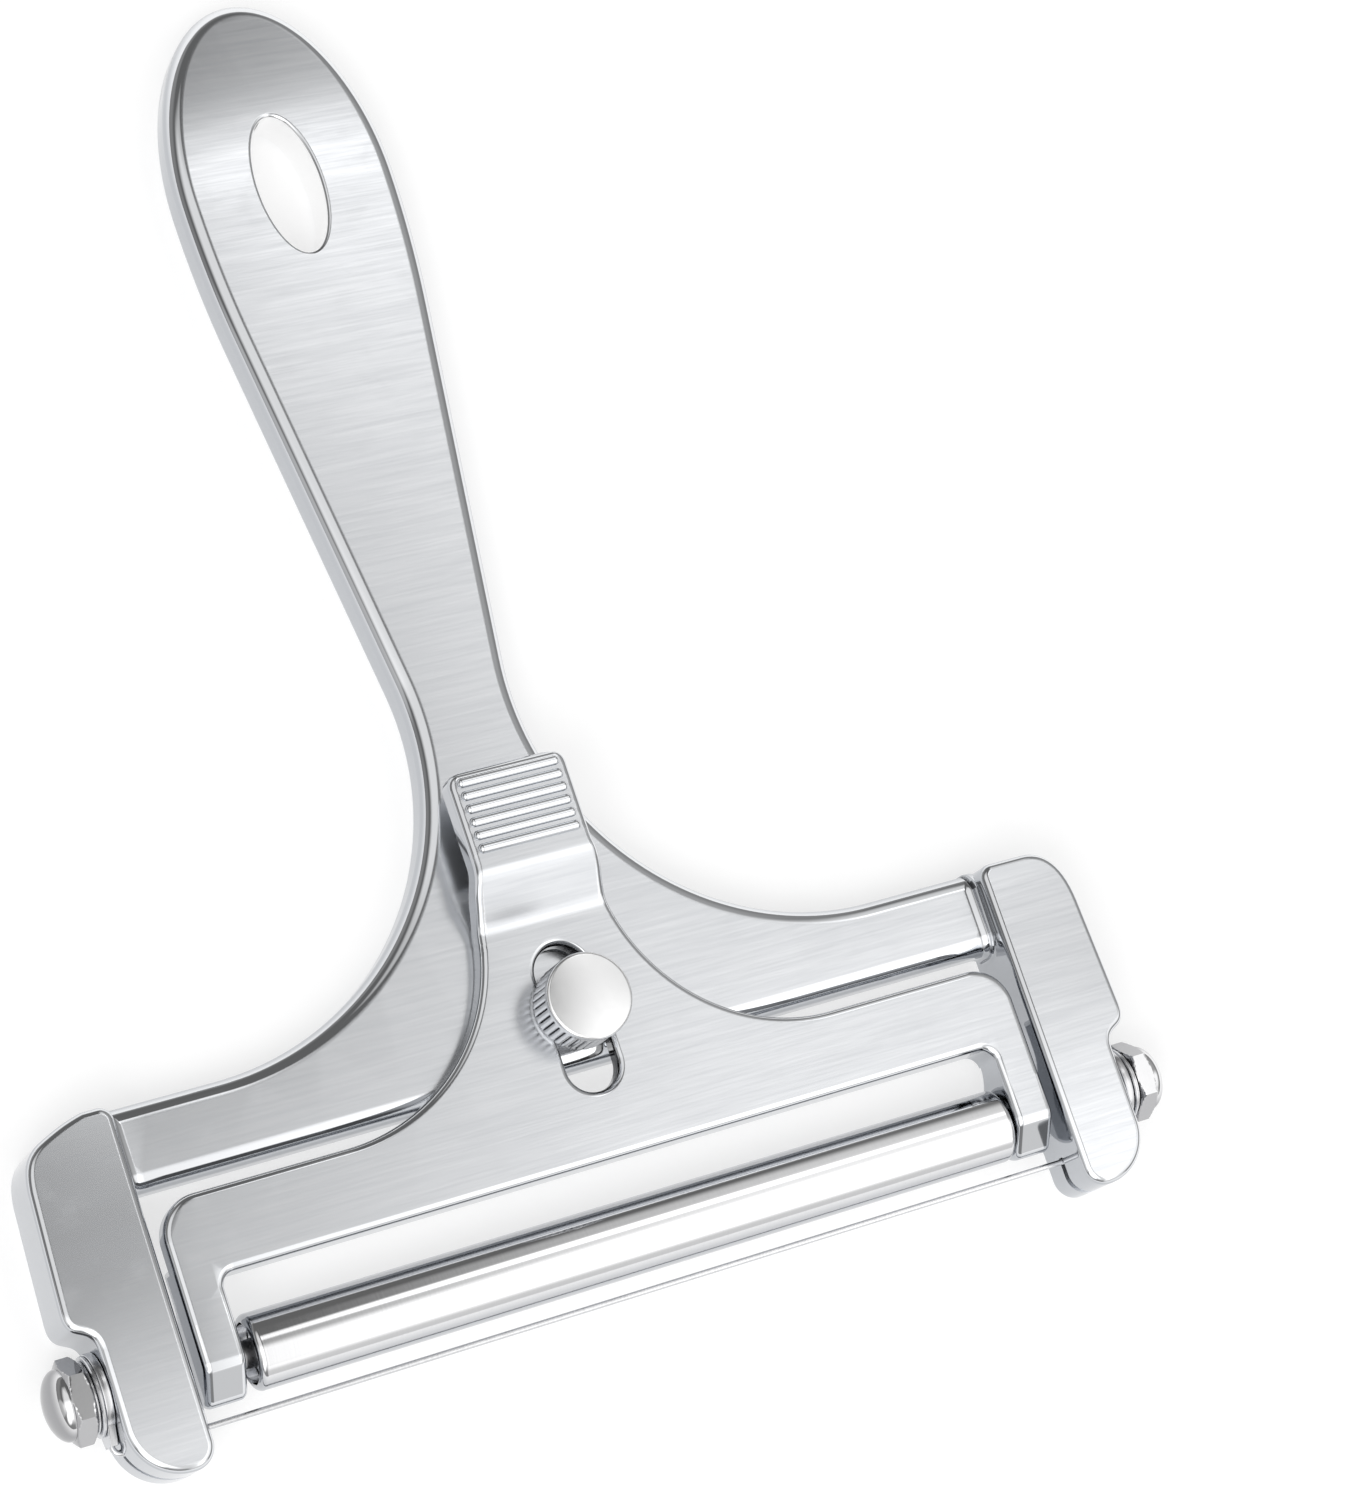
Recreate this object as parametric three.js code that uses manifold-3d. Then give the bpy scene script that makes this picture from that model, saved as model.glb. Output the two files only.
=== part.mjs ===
// Cheese wire cutter: a one-piece frame with a hanging handle and two arms holds a cutting wire,
// and a sliding carrier with a roller, locked by a knurled knob, sets how thick the slice is.
// Millimetres. It lies on its flat back: X along the wire, +Y towards the handle's end, +Z up.
import * as THREE from "three";
import { mergeVertices } from "three/addons/utils/BufferGeometryUtils.js";
import Module from "manifold-3d";

const wasm = await Module();
wasm.setup();

// ---- Driving sizes. Y is counted from the arms' tips until the whole is centred at the end.
const LENGTH = 157.1; // arms' tips to the handle's end
const ARM_GAP = 103.8; // between the two arms' inner faces
const ARM_WIDTH = 11.4; // widest, just above the step
const ARM_DEPTH = 9;
const PLATE_DEPTH = 6; // crossbar and handle
const SIT = 0.05; // gap between two pieces that rest on each other
const RUN = 0.15; // gap between two pieces that slide on each other

const ARM_IN = ARM_GAP / 2;
const ARM_OUT = ARM_IN + ARM_WIDTH;
const STEP_DEPTH = 2.8; // how far the nuts' seat lies back from the arm's outer edge
const SEAT = ARM_OUT - STEP_DEPTH;
const FRAME_FILLET = 2;
const ARM_FILLET = 0.8;

// Up from the tips: the wire, the roller a slice's least thickness above it, the carrier's stiff
// rail, the window the slice leaves through, and the crossbar.
const WIRE_R = 0.33;
const WIRE_Y = 4.15;
const SLICE_GAP = 1.5;
const ROLLER_R = 4.12;
const ROLLER_Y = WIRE_Y + WIRE_R + SLICE_GAP + ROLLER_R;
const RAIL_LOW_Y = ROLLER_Y + ROLLER_R + 4.13;
const RAIL_HIGH_Y = RAIL_LOW_Y + 2.25;
const BAR_BOTTOM_Y = RAIL_HIGH_Y + 8.4;
const SHOULDER_Y = BAR_BOTTOM_Y + 9.3; // top edge of arms and crossbar

// Handle: a flare off the crossbar, a neck, a straight widening, a belly and a rounded end.
const NECK_HALF = 6.5;
const FLARE_R = 32.8;
const NECK_Y = SHOULDER_Y + FLARE_R;
const HANDLE_HALF = 13.1;
const HANDLE_END = 23; // from the widest line to the tip of the handle
const HANDLE_Y = LENGTH - HANDLE_END;
const BELLY_R = 134;
const HOLE_HALF = [3.9, 8.5];

// The wire's terminals.
const WIRE_Z = ARM_DEPTH / 2 - 0.3;
const SLIT_HALF = 0.45;
const BEND_R = 0.9;
const BOLT_R = 2.42; // M5 stud
const BOLT_BORE_R = 2.5;
const BOLT_Y = WIRE_Y + 6.35;
const BOLT_Z = ARM_DEPTH / 2 - 0.1;
const BOLT_DEPTH = 5.5; // how far the stud is screwed into the arm
const LUG_THICK = 0.9;
const LUG_R = 4.1;
const LUG_EAR = 0.3; // how far the lug reaches up past its eye
const WASHER_THICK = 0.4;
const WASHER_R = 4.3;
const LOCK_THICK = 0.35;
const LOCK_R = 3.9;
const NUT_AF = 8;
const HEX_HEIGHT = 2.2;
const DOME_HEIGHT = 2.1;
const DOME_R = 3.8;

// Carrier: a plate over the crossbar, a bent-up thumb grip, and two forks for the roller.
const PLATE_Z = PLATE_DEPTH + RUN;
const CARRIER_TOP = PLATE_Z + 2.6;
const FORK_GAP = 1.2; // fork to arm
const FORK_OUT = ARM_IN - FORK_GAP;
const FORK_WIDTH = 4.65;
const FORK_IN = FORK_OUT - FORK_WIDTH;
const FORK_BACK = PLATE_Z - 2.35;
const FORK_CORNER = 4.6;
const CARRIER_EDGE_Y = BAR_BOTTOM_Y - 1.8; // top edge of the plate above the forks
const CARRIER_FILLET = 0.8;
const GRIP_HALF = 7.05;
const STRAP_HALF = 7.55; // where the flare off the plate ends
const STRAP_FLARE_R = 21.4;
const STRAP_Y = CARRIER_EDGE_Y + STRAP_FLARE_R;
const GRIP_CORNER = 1.6;
const GRIP_FRONT = CARRIER_TOP + 3.45;
const GRIP_BACK = PLATE_Z + 3.05;
const GRIP_BEND_Y = STRAP_Y - 3.4; // where the plate starts to bend up
const GRIP_LEVEL_Y = STRAP_Y + 2;
const GRIP_END_Y = STRAP_Y + 14;
const RIDGES = 6;
const RIDGE_PITCH = 1.5;
const RIDGE_R = 0.55;

// Clamp: a stud in the crossbar, a guide block on it, the slot the block runs in, and the knob.
// The carrier slides away from the wire by SLOT_ENDS[0] - BLOCK_REACH, where the slot's lower end
// meets the block, and towards it until its forks are just short of the wire, 1.2 mm on.
const CLAMP_Y = BAR_BOTTOM_Y + 6.1;
const STUD_R = BOLT_R;
const STUD_BORE_R = BOLT_BORE_R;
const BLOCK_HALF = 2.95;
const BLOCK_REACH = 3.6; // from the stud to each end of the block
const SLOT_HALF = BLOCK_HALF + 0.05;
const SLOT_ENDS = [9.4, 7.1]; // from the stud to the slot's lower and upper ends
const KNOB_R = 4.85;
const KNOB_TOP = CARRIER_TOP + 5.5;
const KNURL_TEETH = 36;
const SHIM_THICK = 0.3;
const SHIM_R = 4.6;

// Roller: a tube on two plain bushes that turn on a fixed axle.
const ROLLER_WALL = 0.82;
const ROLLER_SPAN = [-FORK_IN + 1.25, FORK_IN - 0.25];
const AXLE_R = 1.5;
const BUSH_LENGTH = 6;
const BUSH_RECESS = 1.4;
const FORK_END_R = ROLLER_R + 0.23;
const FORK_FOLD_Y = ROLLER_Y - 0.8;
const ROLLER_Z = CARRIER_TOP - FORK_END_R;

// ---- Finishes.
function metal(color, roughness, metalness = 1) {
  return new THREE.MeshStandardMaterial({ color, roughness, metalness });
}

const SATIN = metal(0xc9cbce, 0.34);
const SATIN_LIGHT = metal(0xd3d4d6, 0.3);
const POLISHED = metal(0xdcdde0, 0.12);
const STEEL = metal(0xb4b6b9, 0.3);

// ---- Solids. A solid is a manifold-3d body; a piece is a named mesh made from one.
function solid(geometry) {
  const bare = geometry.index ? geometry.toNonIndexed() : geometry.clone();
  bare.deleteAttribute("normal");
  bare.deleteAttribute("uv");
  const merged = mergeVertices(bare, 1e-4);
  return new wasm.Manifold(
    new wasm.Mesh({
      numProp: 3,
      vertProperties: merged.attributes.position.array,
      triVerts: new Uint32Array(merged.index.array),
    }),
  );
}

function join(solids) {
  return solids.reduce((all, one) => all.add(one));
}

function cut(body, tools) {
  return tools.reduce((rest, tool) => rest.subtract(tool), body);
}

const object = new THREE.Group();

function piece(name, body, material) {
  const mesh = body.getMesh();
  const geometry = new THREE.BufferGeometry();
  geometry.setAttribute("position", new THREE.BufferAttribute(mesh.vertProperties, 3));
  geometry.setIndex(new THREE.BufferAttribute(mesh.triVerts, 1));
  const flat = geometry.toNonIndexed();
  flat.computeVertexNormals();
  const made = new THREE.Mesh(flat, material);
  made.name = name;
  object.add(made);
}

// A closed outline in X and Y, extruded in Z from low to high. Its edges are rounded by fillet.
function slab(outline, low, high, fillet = 0, segments = 3) {
  const geometry = new THREE.ExtrudeGeometry(outline, {
    depth: high - low - 2 * fillet,
    curveSegments: 24,
    bevelEnabled: fillet > 0,
    bevelSize: fillet,
    bevelThickness: fillet,
    bevelOffset: -fillet,
    bevelSegments: segments,
  });
  return solid(geometry.translate(0, 0, low + fillet));
}

// A closed outline drawn in Y and Z, extruded in X from low to high.
function slice(points, low, high) {
  const geometry = new THREE.ExtrudeGeometry(
    new THREE.Shape(points.map(([y, z]) => new THREE.Vector2(y, z))),
    { depth: high - low, bevelEnabled: false },
  );
  geometry.applyMatrix4(new THREE.Matrix4().set(0, 0, 1, low, 1, 0, 0, 0, 0, 1, 0, 0, 0, 0, 0, 1));
  return solid(geometry);
}

function box(low, high) {
  const size = high.map((value, axis) => value - low[axis]);
  const geometry = new THREE.BoxGeometry(...size);
  return solid(geometry.translate(...low.map((value, axis) => value + size[axis] / 2)));
}

// A round body about Z, from a profile of [radius, height] points that closes on itself.
function turned(profile, segments = 48) {
  const closed = [...profile, profile[0]].map(([r, z]) => new THREE.Vector2(r, z));
  return solid(new THREE.LatheGeometry(closed, segments).rotateX(Math.PI / 2));
}

function rod(radius, low, high, segments = 48) {
  const geometry = new THREE.CylinderGeometry(radius, radius, high - low, segments);
  return solid(geometry.rotateX(Math.PI / 2).translate(0, 0, (low + high) / 2));
}

function ring(outer, inner, low, high, segments = 48) {
  return rod(outer, low, high, segments).subtract(rod(inner, low - 1, high + 1, segments));
}

// A slot's outline: two round ends of radius half about low and high in Y.
function obround(half, low, high) {
  const shape = new THREE.Shape();
  shape.absarc(0, high, half, 0, Math.PI, false);
  shape.absarc(0, low, half, Math.PI, 2 * Math.PI, false);
  return shape;
}

// Turns a body about Z into one about an X axis at y, z, pointing away from the middle on a side.
function outward(body, side, y, z) {
  return body.rotate([0, side * 90, 0]).translate([0, y, z]);
}

// A closed outline of points, mirrored in X when side is -1.
function sided(points, side) {
  const mirrored = points.map((p) => new THREE.Vector2(side * p.x, p.y));
  return new THREE.Shape(side < 0 ? mirrored.reverse() : mirrored);
}

// The other half of an outline that runs from the middle line round its right-hand side.
function symmetric(path, divisions = 24) {
  const right = path.getPoints(divisions);
  const left = right.map((p) => new THREE.Vector2(-p.x, p.y)).reverse();
  return new THREE.Shape([...right, ...left.filter((p) => Math.abs(p.x) > 1e-6)]);
}

const SIDES = [
  ["left", -1],
  ["right", 1],
];

// ---- Frame casting.
// The angle of the handle's straight sides, which touch both the flare's and the belly's circle.
const spread = FLARE_R + BELLY_R;
const across = spread - (HANDLE_HALF - NECK_HALF);
const along = HANDLE_Y - NECK_Y;
const TAPER = Math.atan2(along, across) - Math.acos(spread / Math.hypot(across, along));

function handleAndBar() {
  const path = new THREE.Path();
  const buried = ARM_IN + ARM_WIDTH / 3;
  path.moveTo(0, BAR_BOTTOM_Y);
  path.lineTo(buried, BAR_BOTTOM_Y);
  path.lineTo(buried, SHOULDER_Y);
  path.lineTo(NECK_HALF + FLARE_R, SHOULDER_Y);
  path.absarc(NECK_HALF + FLARE_R, NECK_Y, FLARE_R, -Math.PI / 2, -Math.PI - TAPER, true);
  path.absarc(HANDLE_HALF - BELLY_R, HANDLE_Y, BELLY_R, -TAPER, 0, false);
  path.absellipse(0, HANDLE_Y, HANDLE_HALF, HANDLE_END, 0, Math.PI / 2, false);
  return slab(symmetric(path), 0, PLATE_DEPTH, FRAME_FILLET);
}

function arm(side) {
  const tipIn = 2.5;
  const tipOut = SEAT - ARM_IN - tipIn - 0.1;
  const stepLow = WIRE_Y + 10.25;
  const stepHigh = stepLow + 4.8;
  const topOut = ARM_OUT - 0.6;
  const cornerIn = 2.2;
  const path = new THREE.Path();
  path.moveTo(ARM_IN, tipIn);
  path.absarc(ARM_IN + tipIn, tipIn, tipIn, Math.PI, 1.5 * Math.PI, false);
  path.absarc(SEAT - tipOut, tipOut, tipOut, -Math.PI / 2, 0, false);
  path.lineTo(SEAT, stepLow);
  path.bezierCurveTo(SEAT, stepLow + 3.2, ARM_OUT, stepHigh - 3.4, ARM_OUT, stepHigh);
  path.lineTo(topOut, SHOULDER_Y - 7.2);
  path.bezierCurveTo(
    topOut - 0.2,
    SHOULDER_Y - 2.6,
    topOut - 2.3,
    SHOULDER_Y - 0.2,
    topOut - 5.7,
    SHOULDER_Y,
  );
  path.absarc(ARM_IN + cornerIn, SHOULDER_Y - cornerIn, cornerIn, Math.PI / 2, Math.PI, false);
  return slab(sided(path.getPoints(12), side), 0, ARM_DEPTH, ARM_FILLET, 2);
}

function slit(side) {
  const ends = [side * (ARM_IN - 1), side * (ARM_OUT + 1)].sort((a, b) => a - b);
  return box(
    [ends[0], -1, WIRE_Z - SLIT_HALF],
    [ends[1], WIRE_Y + SLIT_HALF, WIRE_Z + SLIT_HALF],
  );
}

const hangingHole = new THREE.Shape();
hangingHole.absellipse(0, HANDLE_Y, HOLE_HALF[0], HOLE_HALF[1], 0, 2 * Math.PI, false);

piece(
  "frame_casting",
  cut(join([handleAndBar(), ...SIDES.map(([, side]) => arm(side))]), [
    slab(hangingHole, -1, PLATE_DEPTH + 1),
    rod(STUD_BORE_R, 0.8, PLATE_DEPTH + 1).translate([0, CLAMP_Y, 0]),
    ...SIDES.map(([, side]) => slit(side)),
    ...SIDES.map(([, side]) =>
      outward(rod(BOLT_BORE_R, SEAT - BOLT_DEPTH, SEAT + 5), side, BOLT_Y, BOLT_Z),
    ),
  ]),
  SATIN,
);

// ---- Roller carrier.
function carrierPlate() {
  const path = new THREE.Path();
  const low = RAIL_LOW_Y;
  path.moveTo(0, low);
  path.lineTo(FORK_OUT, low);
  path.lineTo(FORK_OUT, CARRIER_EDGE_Y - FORK_CORNER);
  path.absarc(
    FORK_OUT - FORK_CORNER,
    CARRIER_EDGE_Y - FORK_CORNER,
    FORK_CORNER,
    0,
    Math.PI / 2,
    false,
  );
  path.absarc(STRAP_HALF + STRAP_FLARE_R, STRAP_Y, STRAP_FLARE_R, -Math.PI / 2, -Math.PI, true);
  return path;
}

// The plate's outline carried on up the strap to the grip's rounded end.
function strapOutline() {
  const path = carrierPlate();
  path.lineTo(GRIP_HALF, GRIP_LEVEL_Y);
  path.absarc(
    GRIP_HALF - GRIP_CORNER,
    GRIP_END_Y - GRIP_CORNER,
    GRIP_CORNER,
    0,
    Math.PI / 2,
    false,
  );
  return symmetric(path, 12);
}

function forkOutline() {
  const rail = new THREE.Shape();
  const foot = ROLLER_Y;
  rail.moveTo(-FORK_OUT, foot);
  rail.lineTo(-FORK_IN, foot);
  rail.lineTo(-FORK_IN, RAIL_LOW_Y);
  rail.lineTo(FORK_IN, RAIL_LOW_Y);
  rail.lineTo(FORK_IN, foot);
  rail.lineTo(FORK_OUT, foot);
  rail.lineTo(FORK_OUT, RAIL_HIGH_Y);
  rail.lineTo(-FORK_OUT, RAIL_HIGH_Y);
  rail.closePath();
  return rail;
}

// The grip seen from the side: up off the plate in a double bend, level along the ridges.
function gripProfile() {
  const [bend, level] = [GRIP_BEND_Y, GRIP_LEVEL_Y];
  const low = bend - 6;
  return [
    [low, PLATE_Z],
    [bend + 0.8, PLATE_Z],
    [bend + 2.2, PLATE_Z + 0.35],
    [level - 0.2, GRIP_BACK - 0.35],
    [level + 1, GRIP_BACK],
    [GRIP_END_Y - 0.6, GRIP_BACK],
    [GRIP_END_Y, GRIP_BACK + 0.6],
    [GRIP_END_Y, GRIP_FRONT - 0.8],
    [GRIP_END_Y - 0.8, GRIP_FRONT],
    [level + 0.6, GRIP_FRONT],
    [level - 0.7, GRIP_FRONT - 0.35],
    [bend + 0.9, CARRIER_TOP + 0.4],
    [bend - 0.5, CARRIER_TOP],
    [low, CARRIER_TOP],
  ];
}

function ridge(index) {
  const y = GRIP_END_Y - 1.4 - index * RIDGE_PITCH;
  const half = GRIP_HALF - 1.2;
  return rod(RIDGE_R, -half, half, 12)
    .rotate([0, 90, 0])
    .translate([0, y, GRIP_FRONT + 0.1]);
}

function forkEnd(side) {
  const body = rod(FORK_END_R, FORK_IN, FORK_OUT);
  return outward(body, side, ROLLER_Y, ROLLER_Z);
}

// What is sloped off the forks' ends, from a fold in their front faces.
function forkSlope() {
  const points = [
    [FORK_FOLD_Y, CARRIER_TOP + 1],
    [FORK_FOLD_Y - 8, CARRIER_TOP + 1],
    [FORK_FOLD_Y - 8, CARRIER_TOP - 8],
    [FORK_FOLD_Y, CARRIER_TOP],
  ];
  return slice(points, -FORK_OUT - 1, FORK_OUT + 1);
}

const slot = obround(
  SLOT_HALF,
  CLAMP_Y - SLOT_ENDS[0] + SLOT_HALF,
  CLAMP_Y + SLOT_ENDS[1] - SLOT_HALF,
);
const blockCentres = BLOCK_REACH - BLOCK_HALF;

const axleBore = rod(AXLE_R + 0.03, -FORK_OUT - 1, FORK_OUT + 1)
  .rotate([0, 90, 0])
  .translate([0, ROLLER_Y, ROLLER_Z]);

piece(
  "roller_carrier",
  cut(
    join([
      slab(symmetric(carrierPlate()), PLATE_Z, CARRIER_TOP, CARRIER_FILLET, 2),
      slab(forkOutline(), FORK_BACK, CARRIER_TOP, 0.4, 1),
      slice(gripProfile(), -2 * STRAP_HALF, 2 * STRAP_HALF).intersect(
        slab(strapOutline(), 0, 2 * GRIP_FRONT),
      ),
      ...Array.from({ length: RIDGES }, (_, index) => ridge(index)),
      ...SIDES.map(([, side]) => forkEnd(side)),
    ]),
    [slab(slot, PLATE_Z - 4, CARRIER_TOP + 1), axleBore, forkSlope()],
  ),
  SATIN_LIGHT,
);

// ---- Roller.
const roller = (body) => body.rotate([0, 90, 0]).translate([0, ROLLER_Y, ROLLER_Z]);
const [rollerLow, rollerHigh] = ROLLER_SPAN;
const rollerBore = ROLLER_R - ROLLER_WALL;
const lip = 0.5;

piece(
  "roller_tube",
  roller(
    turned(
      [
        [rollerBore, rollerLow],
        [ROLLER_R - lip, rollerLow],
        [ROLLER_R, rollerLow + lip],
        [ROLLER_R, rollerHigh - lip],
        [ROLLER_R - lip, rollerHigh],
        [rollerBore, rollerHigh],
      ],
      64,
    ),
  ),
  POLISHED,
);
piece(
  "roller_axle",
  roller(rod(AXLE_R, -FORK_OUT + 0.1, FORK_OUT - 0.1)),
  STEEL,
);
SIDES.forEach(([name, side]) => {
  const mouth = side < 0 ? rollerLow + BUSH_RECESS : rollerHigh - BUSH_RECESS;
  const ends = [mouth, mouth - side * BUSH_LENGTH].sort((a, b) => a - b);
  piece(
    `roller_bush_${name}`,
    roller(ring(rollerBore - 0.03, AXLE_R + 0.05, ends[0], ends[1], 64)),
    STEEL,
  );
});

// ---- Clamp stud, guide block, shim washer and knurled knob.
const clamp = (body) => body.translate([0, CLAMP_Y, 0]);
const shimLow = CARRIER_TOP + SIT;
const knobLow = shimLow + SHIM_THICK + SIT;
const studTop = KNOB_TOP - 1.2;

function knurl() {
  const points = Array.from({ length: 2 * KNURL_TEETH }, (_, index) => {
    const radius = index % 2 ? KNOB_R - 0.28 : KNOB_R;
    const angle = (Math.PI * index) / KNURL_TEETH;
    return new THREE.Vector2(radius * Math.cos(angle), radius * Math.sin(angle));
  });
  return slab(new THREE.Shape(points), knobLow + 0.3, KNOB_TOP - 0.55);
}

piece("clamp_stud", clamp(rod(STUD_R, 1, studTop)), STEEL);
piece(
  "guide_block",
  slab(
    obround(BLOCK_HALF, CLAMP_Y - blockCentres, CLAMP_Y + blockCentres),
    PLATE_DEPTH + SIT,
    CARRIER_TOP - 2 * RUN,
  ).subtract(clamp(rod(STUD_BORE_R, 0, CARRIER_TOP))),
  POLISHED,
);
piece("clamp_washer", clamp(ring(SHIM_R, STUD_BORE_R, shimLow, shimLow + SHIM_THICK)), STEEL);
piece(
  "thumb_knob",
  clamp(
    join([
      knurl(),
      turned([
        [0, knobLow],
        [KNOB_R - 0.4, knobLow],
        [KNOB_R - 0.4, KNOB_TOP - 0.7],
        [KNOB_R, KNOB_TOP - 0.6],
        [KNOB_R, KNOB_TOP - 0.25],
        [KNOB_R - 0.25, KNOB_TOP],
        [0, KNOB_TOP],
      ]),
    ]).subtract(rod(STUD_BORE_R, knobLow - 1, studTop + 0.2)),
  ),
  POLISHED,
);

// ---- Wire: straight between the arms, bent up the outside of each arm into its lug.
class BentWire extends THREE.Curve {
  constructor(points) {
    super();
    this.points = points;
  }

  getPoint(t, target = new THREE.Vector3()) {
    const last = this.points.length - 1;
    const at = Math.min(t * last, last);
    const index = Math.min(Math.floor(at), last - 1);
    return target.copy(this.points[index]).lerp(this.points[index + 1], at - index);
  }

  getPointAt(u, target) {
    return this.getPoint(u, target);
  }

  getTangentAt(u, target) {
    return this.getTangent(u, target);
  }
}

const lugMid = SEAT + SIT + LUG_THICK / 2 + 0.05;
const wireEndY = WIRE_Y + 2.1;

function wirePoints() {
  const steps = 6;
  const right = [new THREE.Vector3(lugMid - BEND_R - 2, WIRE_Y, WIRE_Z)];
  for (let step = 0; step <= steps; step += 1) {
    const angle = ((step / steps) * Math.PI) / 2;
    right.push(
      new THREE.Vector3(
        lugMid - BEND_R * (1 - Math.sin(angle)),
        WIRE_Y + BEND_R * (1 - Math.cos(angle)),
        WIRE_Z,
      ),
    );
  }
  right.push(new THREE.Vector3(lugMid, wireEndY, WIRE_Z));
  const left = right.map((p) => new THREE.Vector3(-p.x, p.y, p.z)).reverse();
  return [...left, ...right];
}

const route = wirePoints();
const section = new THREE.Shape();
section.absarc(0, 0, WIRE_R, 0, 2 * Math.PI, false);
piece(
  "cutting_wire",
  solid(
    new THREE.ExtrudeGeometry(section, {
      steps: route.length - 1,
      curveSegments: 5,
      bevelEnabled: false,
      extrudePath: new BentWire(route),
    }),
  ),
  STEEL,
);

// ---- Wire terminals at both arms: lug, washer, lock washer and cap nut on a stud.
function lug(side) {
  const low = SEAT + SIT;
  const high = low + LUG_THICK;
  const eye = outward(
    slab(obround(LUG_R, 0, LUG_EAR), low, high).subtract(
      rod(BOLT_BORE_R + 0.1, low - 1, high + 1, 40),
    ),
    side,
    BOLT_Y,
    BOLT_Z,
  );
  const ends = [side * low, side * high].sort((a, b) => a - b);
  const half = 1.2;
  const tongue = box(
    [ends[0], WIRE_Y + BEND_R, WIRE_Z - half],
    [ends[1], BOLT_Y - LUG_R + 0.6, WIRE_Z + half],
  );
  const grip = WIRE_R + 0.04;
  const grooveX = [side * (lugMid - grip), side * (high + 1)].sort((a, b) => a - b);
  const groove = box(
    [grooveX[0], WIRE_Y, WIRE_Z - grip],
    [grooveX[1], wireEndY + SIT, WIRE_Z + grip],
  );
  return eye.add(tongue).subtract(groove);
}

function capNut(low) {
  const corner = NUT_AF / Math.sqrt(3);
  const hexagon = Array.from({ length: 6 }, (_, index) => {
    const angle = (index * Math.PI) / 3;
    return new THREE.Vector2(corner * Math.sin(angle), corner * Math.cos(angle));
  });
  const shoulder = low + HEX_HEIGHT;
  const dome = [[0, shoulder - 1]];
  const steps = 8;
  for (let step = 0; step <= steps; step += 1) {
    const angle = ((step / steps) * Math.PI) / 2;
    dome.push([DOME_R * Math.cos(angle), shoulder + DOME_HEIGHT * Math.sin(angle)]);
  }
  dome.splice(1, 0, [DOME_R, shoulder - 1]);
  dome[dome.length - 1][0] = 0;
  const bore = rod(BOLT_BORE_R, low - 1, shoulder + 0.9, 40);
  return slab(new THREE.Shape(hexagon.reverse()), low, shoulder, 0.25, 1)
    .add(turned(dome, 48))
    .subtract(bore);
}

SIDES.forEach(([name, side]) => {
  const washerLow = SEAT + 2 * SIT + LUG_THICK;
  const lockLow = washerLow + WASHER_THICK + SIT;
  const nutLow = lockLow + LOCK_THICK + SIT;
  const place = (body) => outward(body, side, BOLT_Y, BOLT_Z);
  piece(
    `terminal_stud_${name}`,
    place(rod(BOLT_R, SEAT - BOLT_DEPTH + 0.3, nutLow + HEX_HEIGHT + 0.5, 40)),
    STEEL,
  );
  piece(`wire_lug_${name}`, lug(side), STEEL);
  piece(
    `terminal_washer_${name}`,
    place(ring(WASHER_R, BOLT_BORE_R + 0.1, washerLow, washerLow + WASHER_THICK, 40)),
    POLISHED,
  );
  piece(
    `lock_washer_${name}`,
    place(ring(LOCK_R, BOLT_BORE_R + 0.1, lockLow, lockLow + LOCK_THICK, 40)),
    STEEL,
  );
  piece(`cap_nut_${name}`, place(capNut(nutLow)), POLISHED);
});

object.position.y = -LENGTH / 2;

const group = new THREE.Group();
group.add(object);

export default group;
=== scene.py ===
"""Looks of the cheese wire cutter: its castings, roller, clamp and wire terminals in full detail.

Sizes inside the classes are in millimetres. X runs along the wire and Z up from the flat back, as
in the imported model, and Y is counted from the tips of the arms, where the casting's box begins.
"""

import logging
import math
from collections.abc import Callable, Iterable, Sequence
from dataclasses import dataclass, field, replace
from enum import Enum

import bmesh
import bpy
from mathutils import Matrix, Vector


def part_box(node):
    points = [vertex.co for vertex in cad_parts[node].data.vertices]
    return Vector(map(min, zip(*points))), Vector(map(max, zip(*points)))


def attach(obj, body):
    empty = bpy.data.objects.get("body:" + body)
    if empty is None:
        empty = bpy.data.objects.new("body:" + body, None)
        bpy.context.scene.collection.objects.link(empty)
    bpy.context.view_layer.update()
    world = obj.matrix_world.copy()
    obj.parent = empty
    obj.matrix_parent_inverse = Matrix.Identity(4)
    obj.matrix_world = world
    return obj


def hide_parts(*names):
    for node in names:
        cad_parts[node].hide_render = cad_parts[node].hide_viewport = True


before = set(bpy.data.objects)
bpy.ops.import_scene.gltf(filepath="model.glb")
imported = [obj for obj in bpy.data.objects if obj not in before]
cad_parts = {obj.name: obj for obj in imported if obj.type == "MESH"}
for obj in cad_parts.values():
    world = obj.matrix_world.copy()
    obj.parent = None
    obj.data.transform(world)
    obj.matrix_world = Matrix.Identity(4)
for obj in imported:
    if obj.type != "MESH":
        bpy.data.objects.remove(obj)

log = logging.getLogger("cheese_wire_cutter")

MM = 0.001
QUARTER = math.pi / 2
CRISP = 38.0
KEPT_FLAT = "flat faces"
TIPS_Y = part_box("frame_casting")[0][1] / MM

Point = tuple[float, float, float]
Pair = tuple[float, float]
Box = tuple[Point, Point]
Value = "Val | float | Sequence[float]"


# ---------------------------------------------------------------- shader maths


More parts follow.
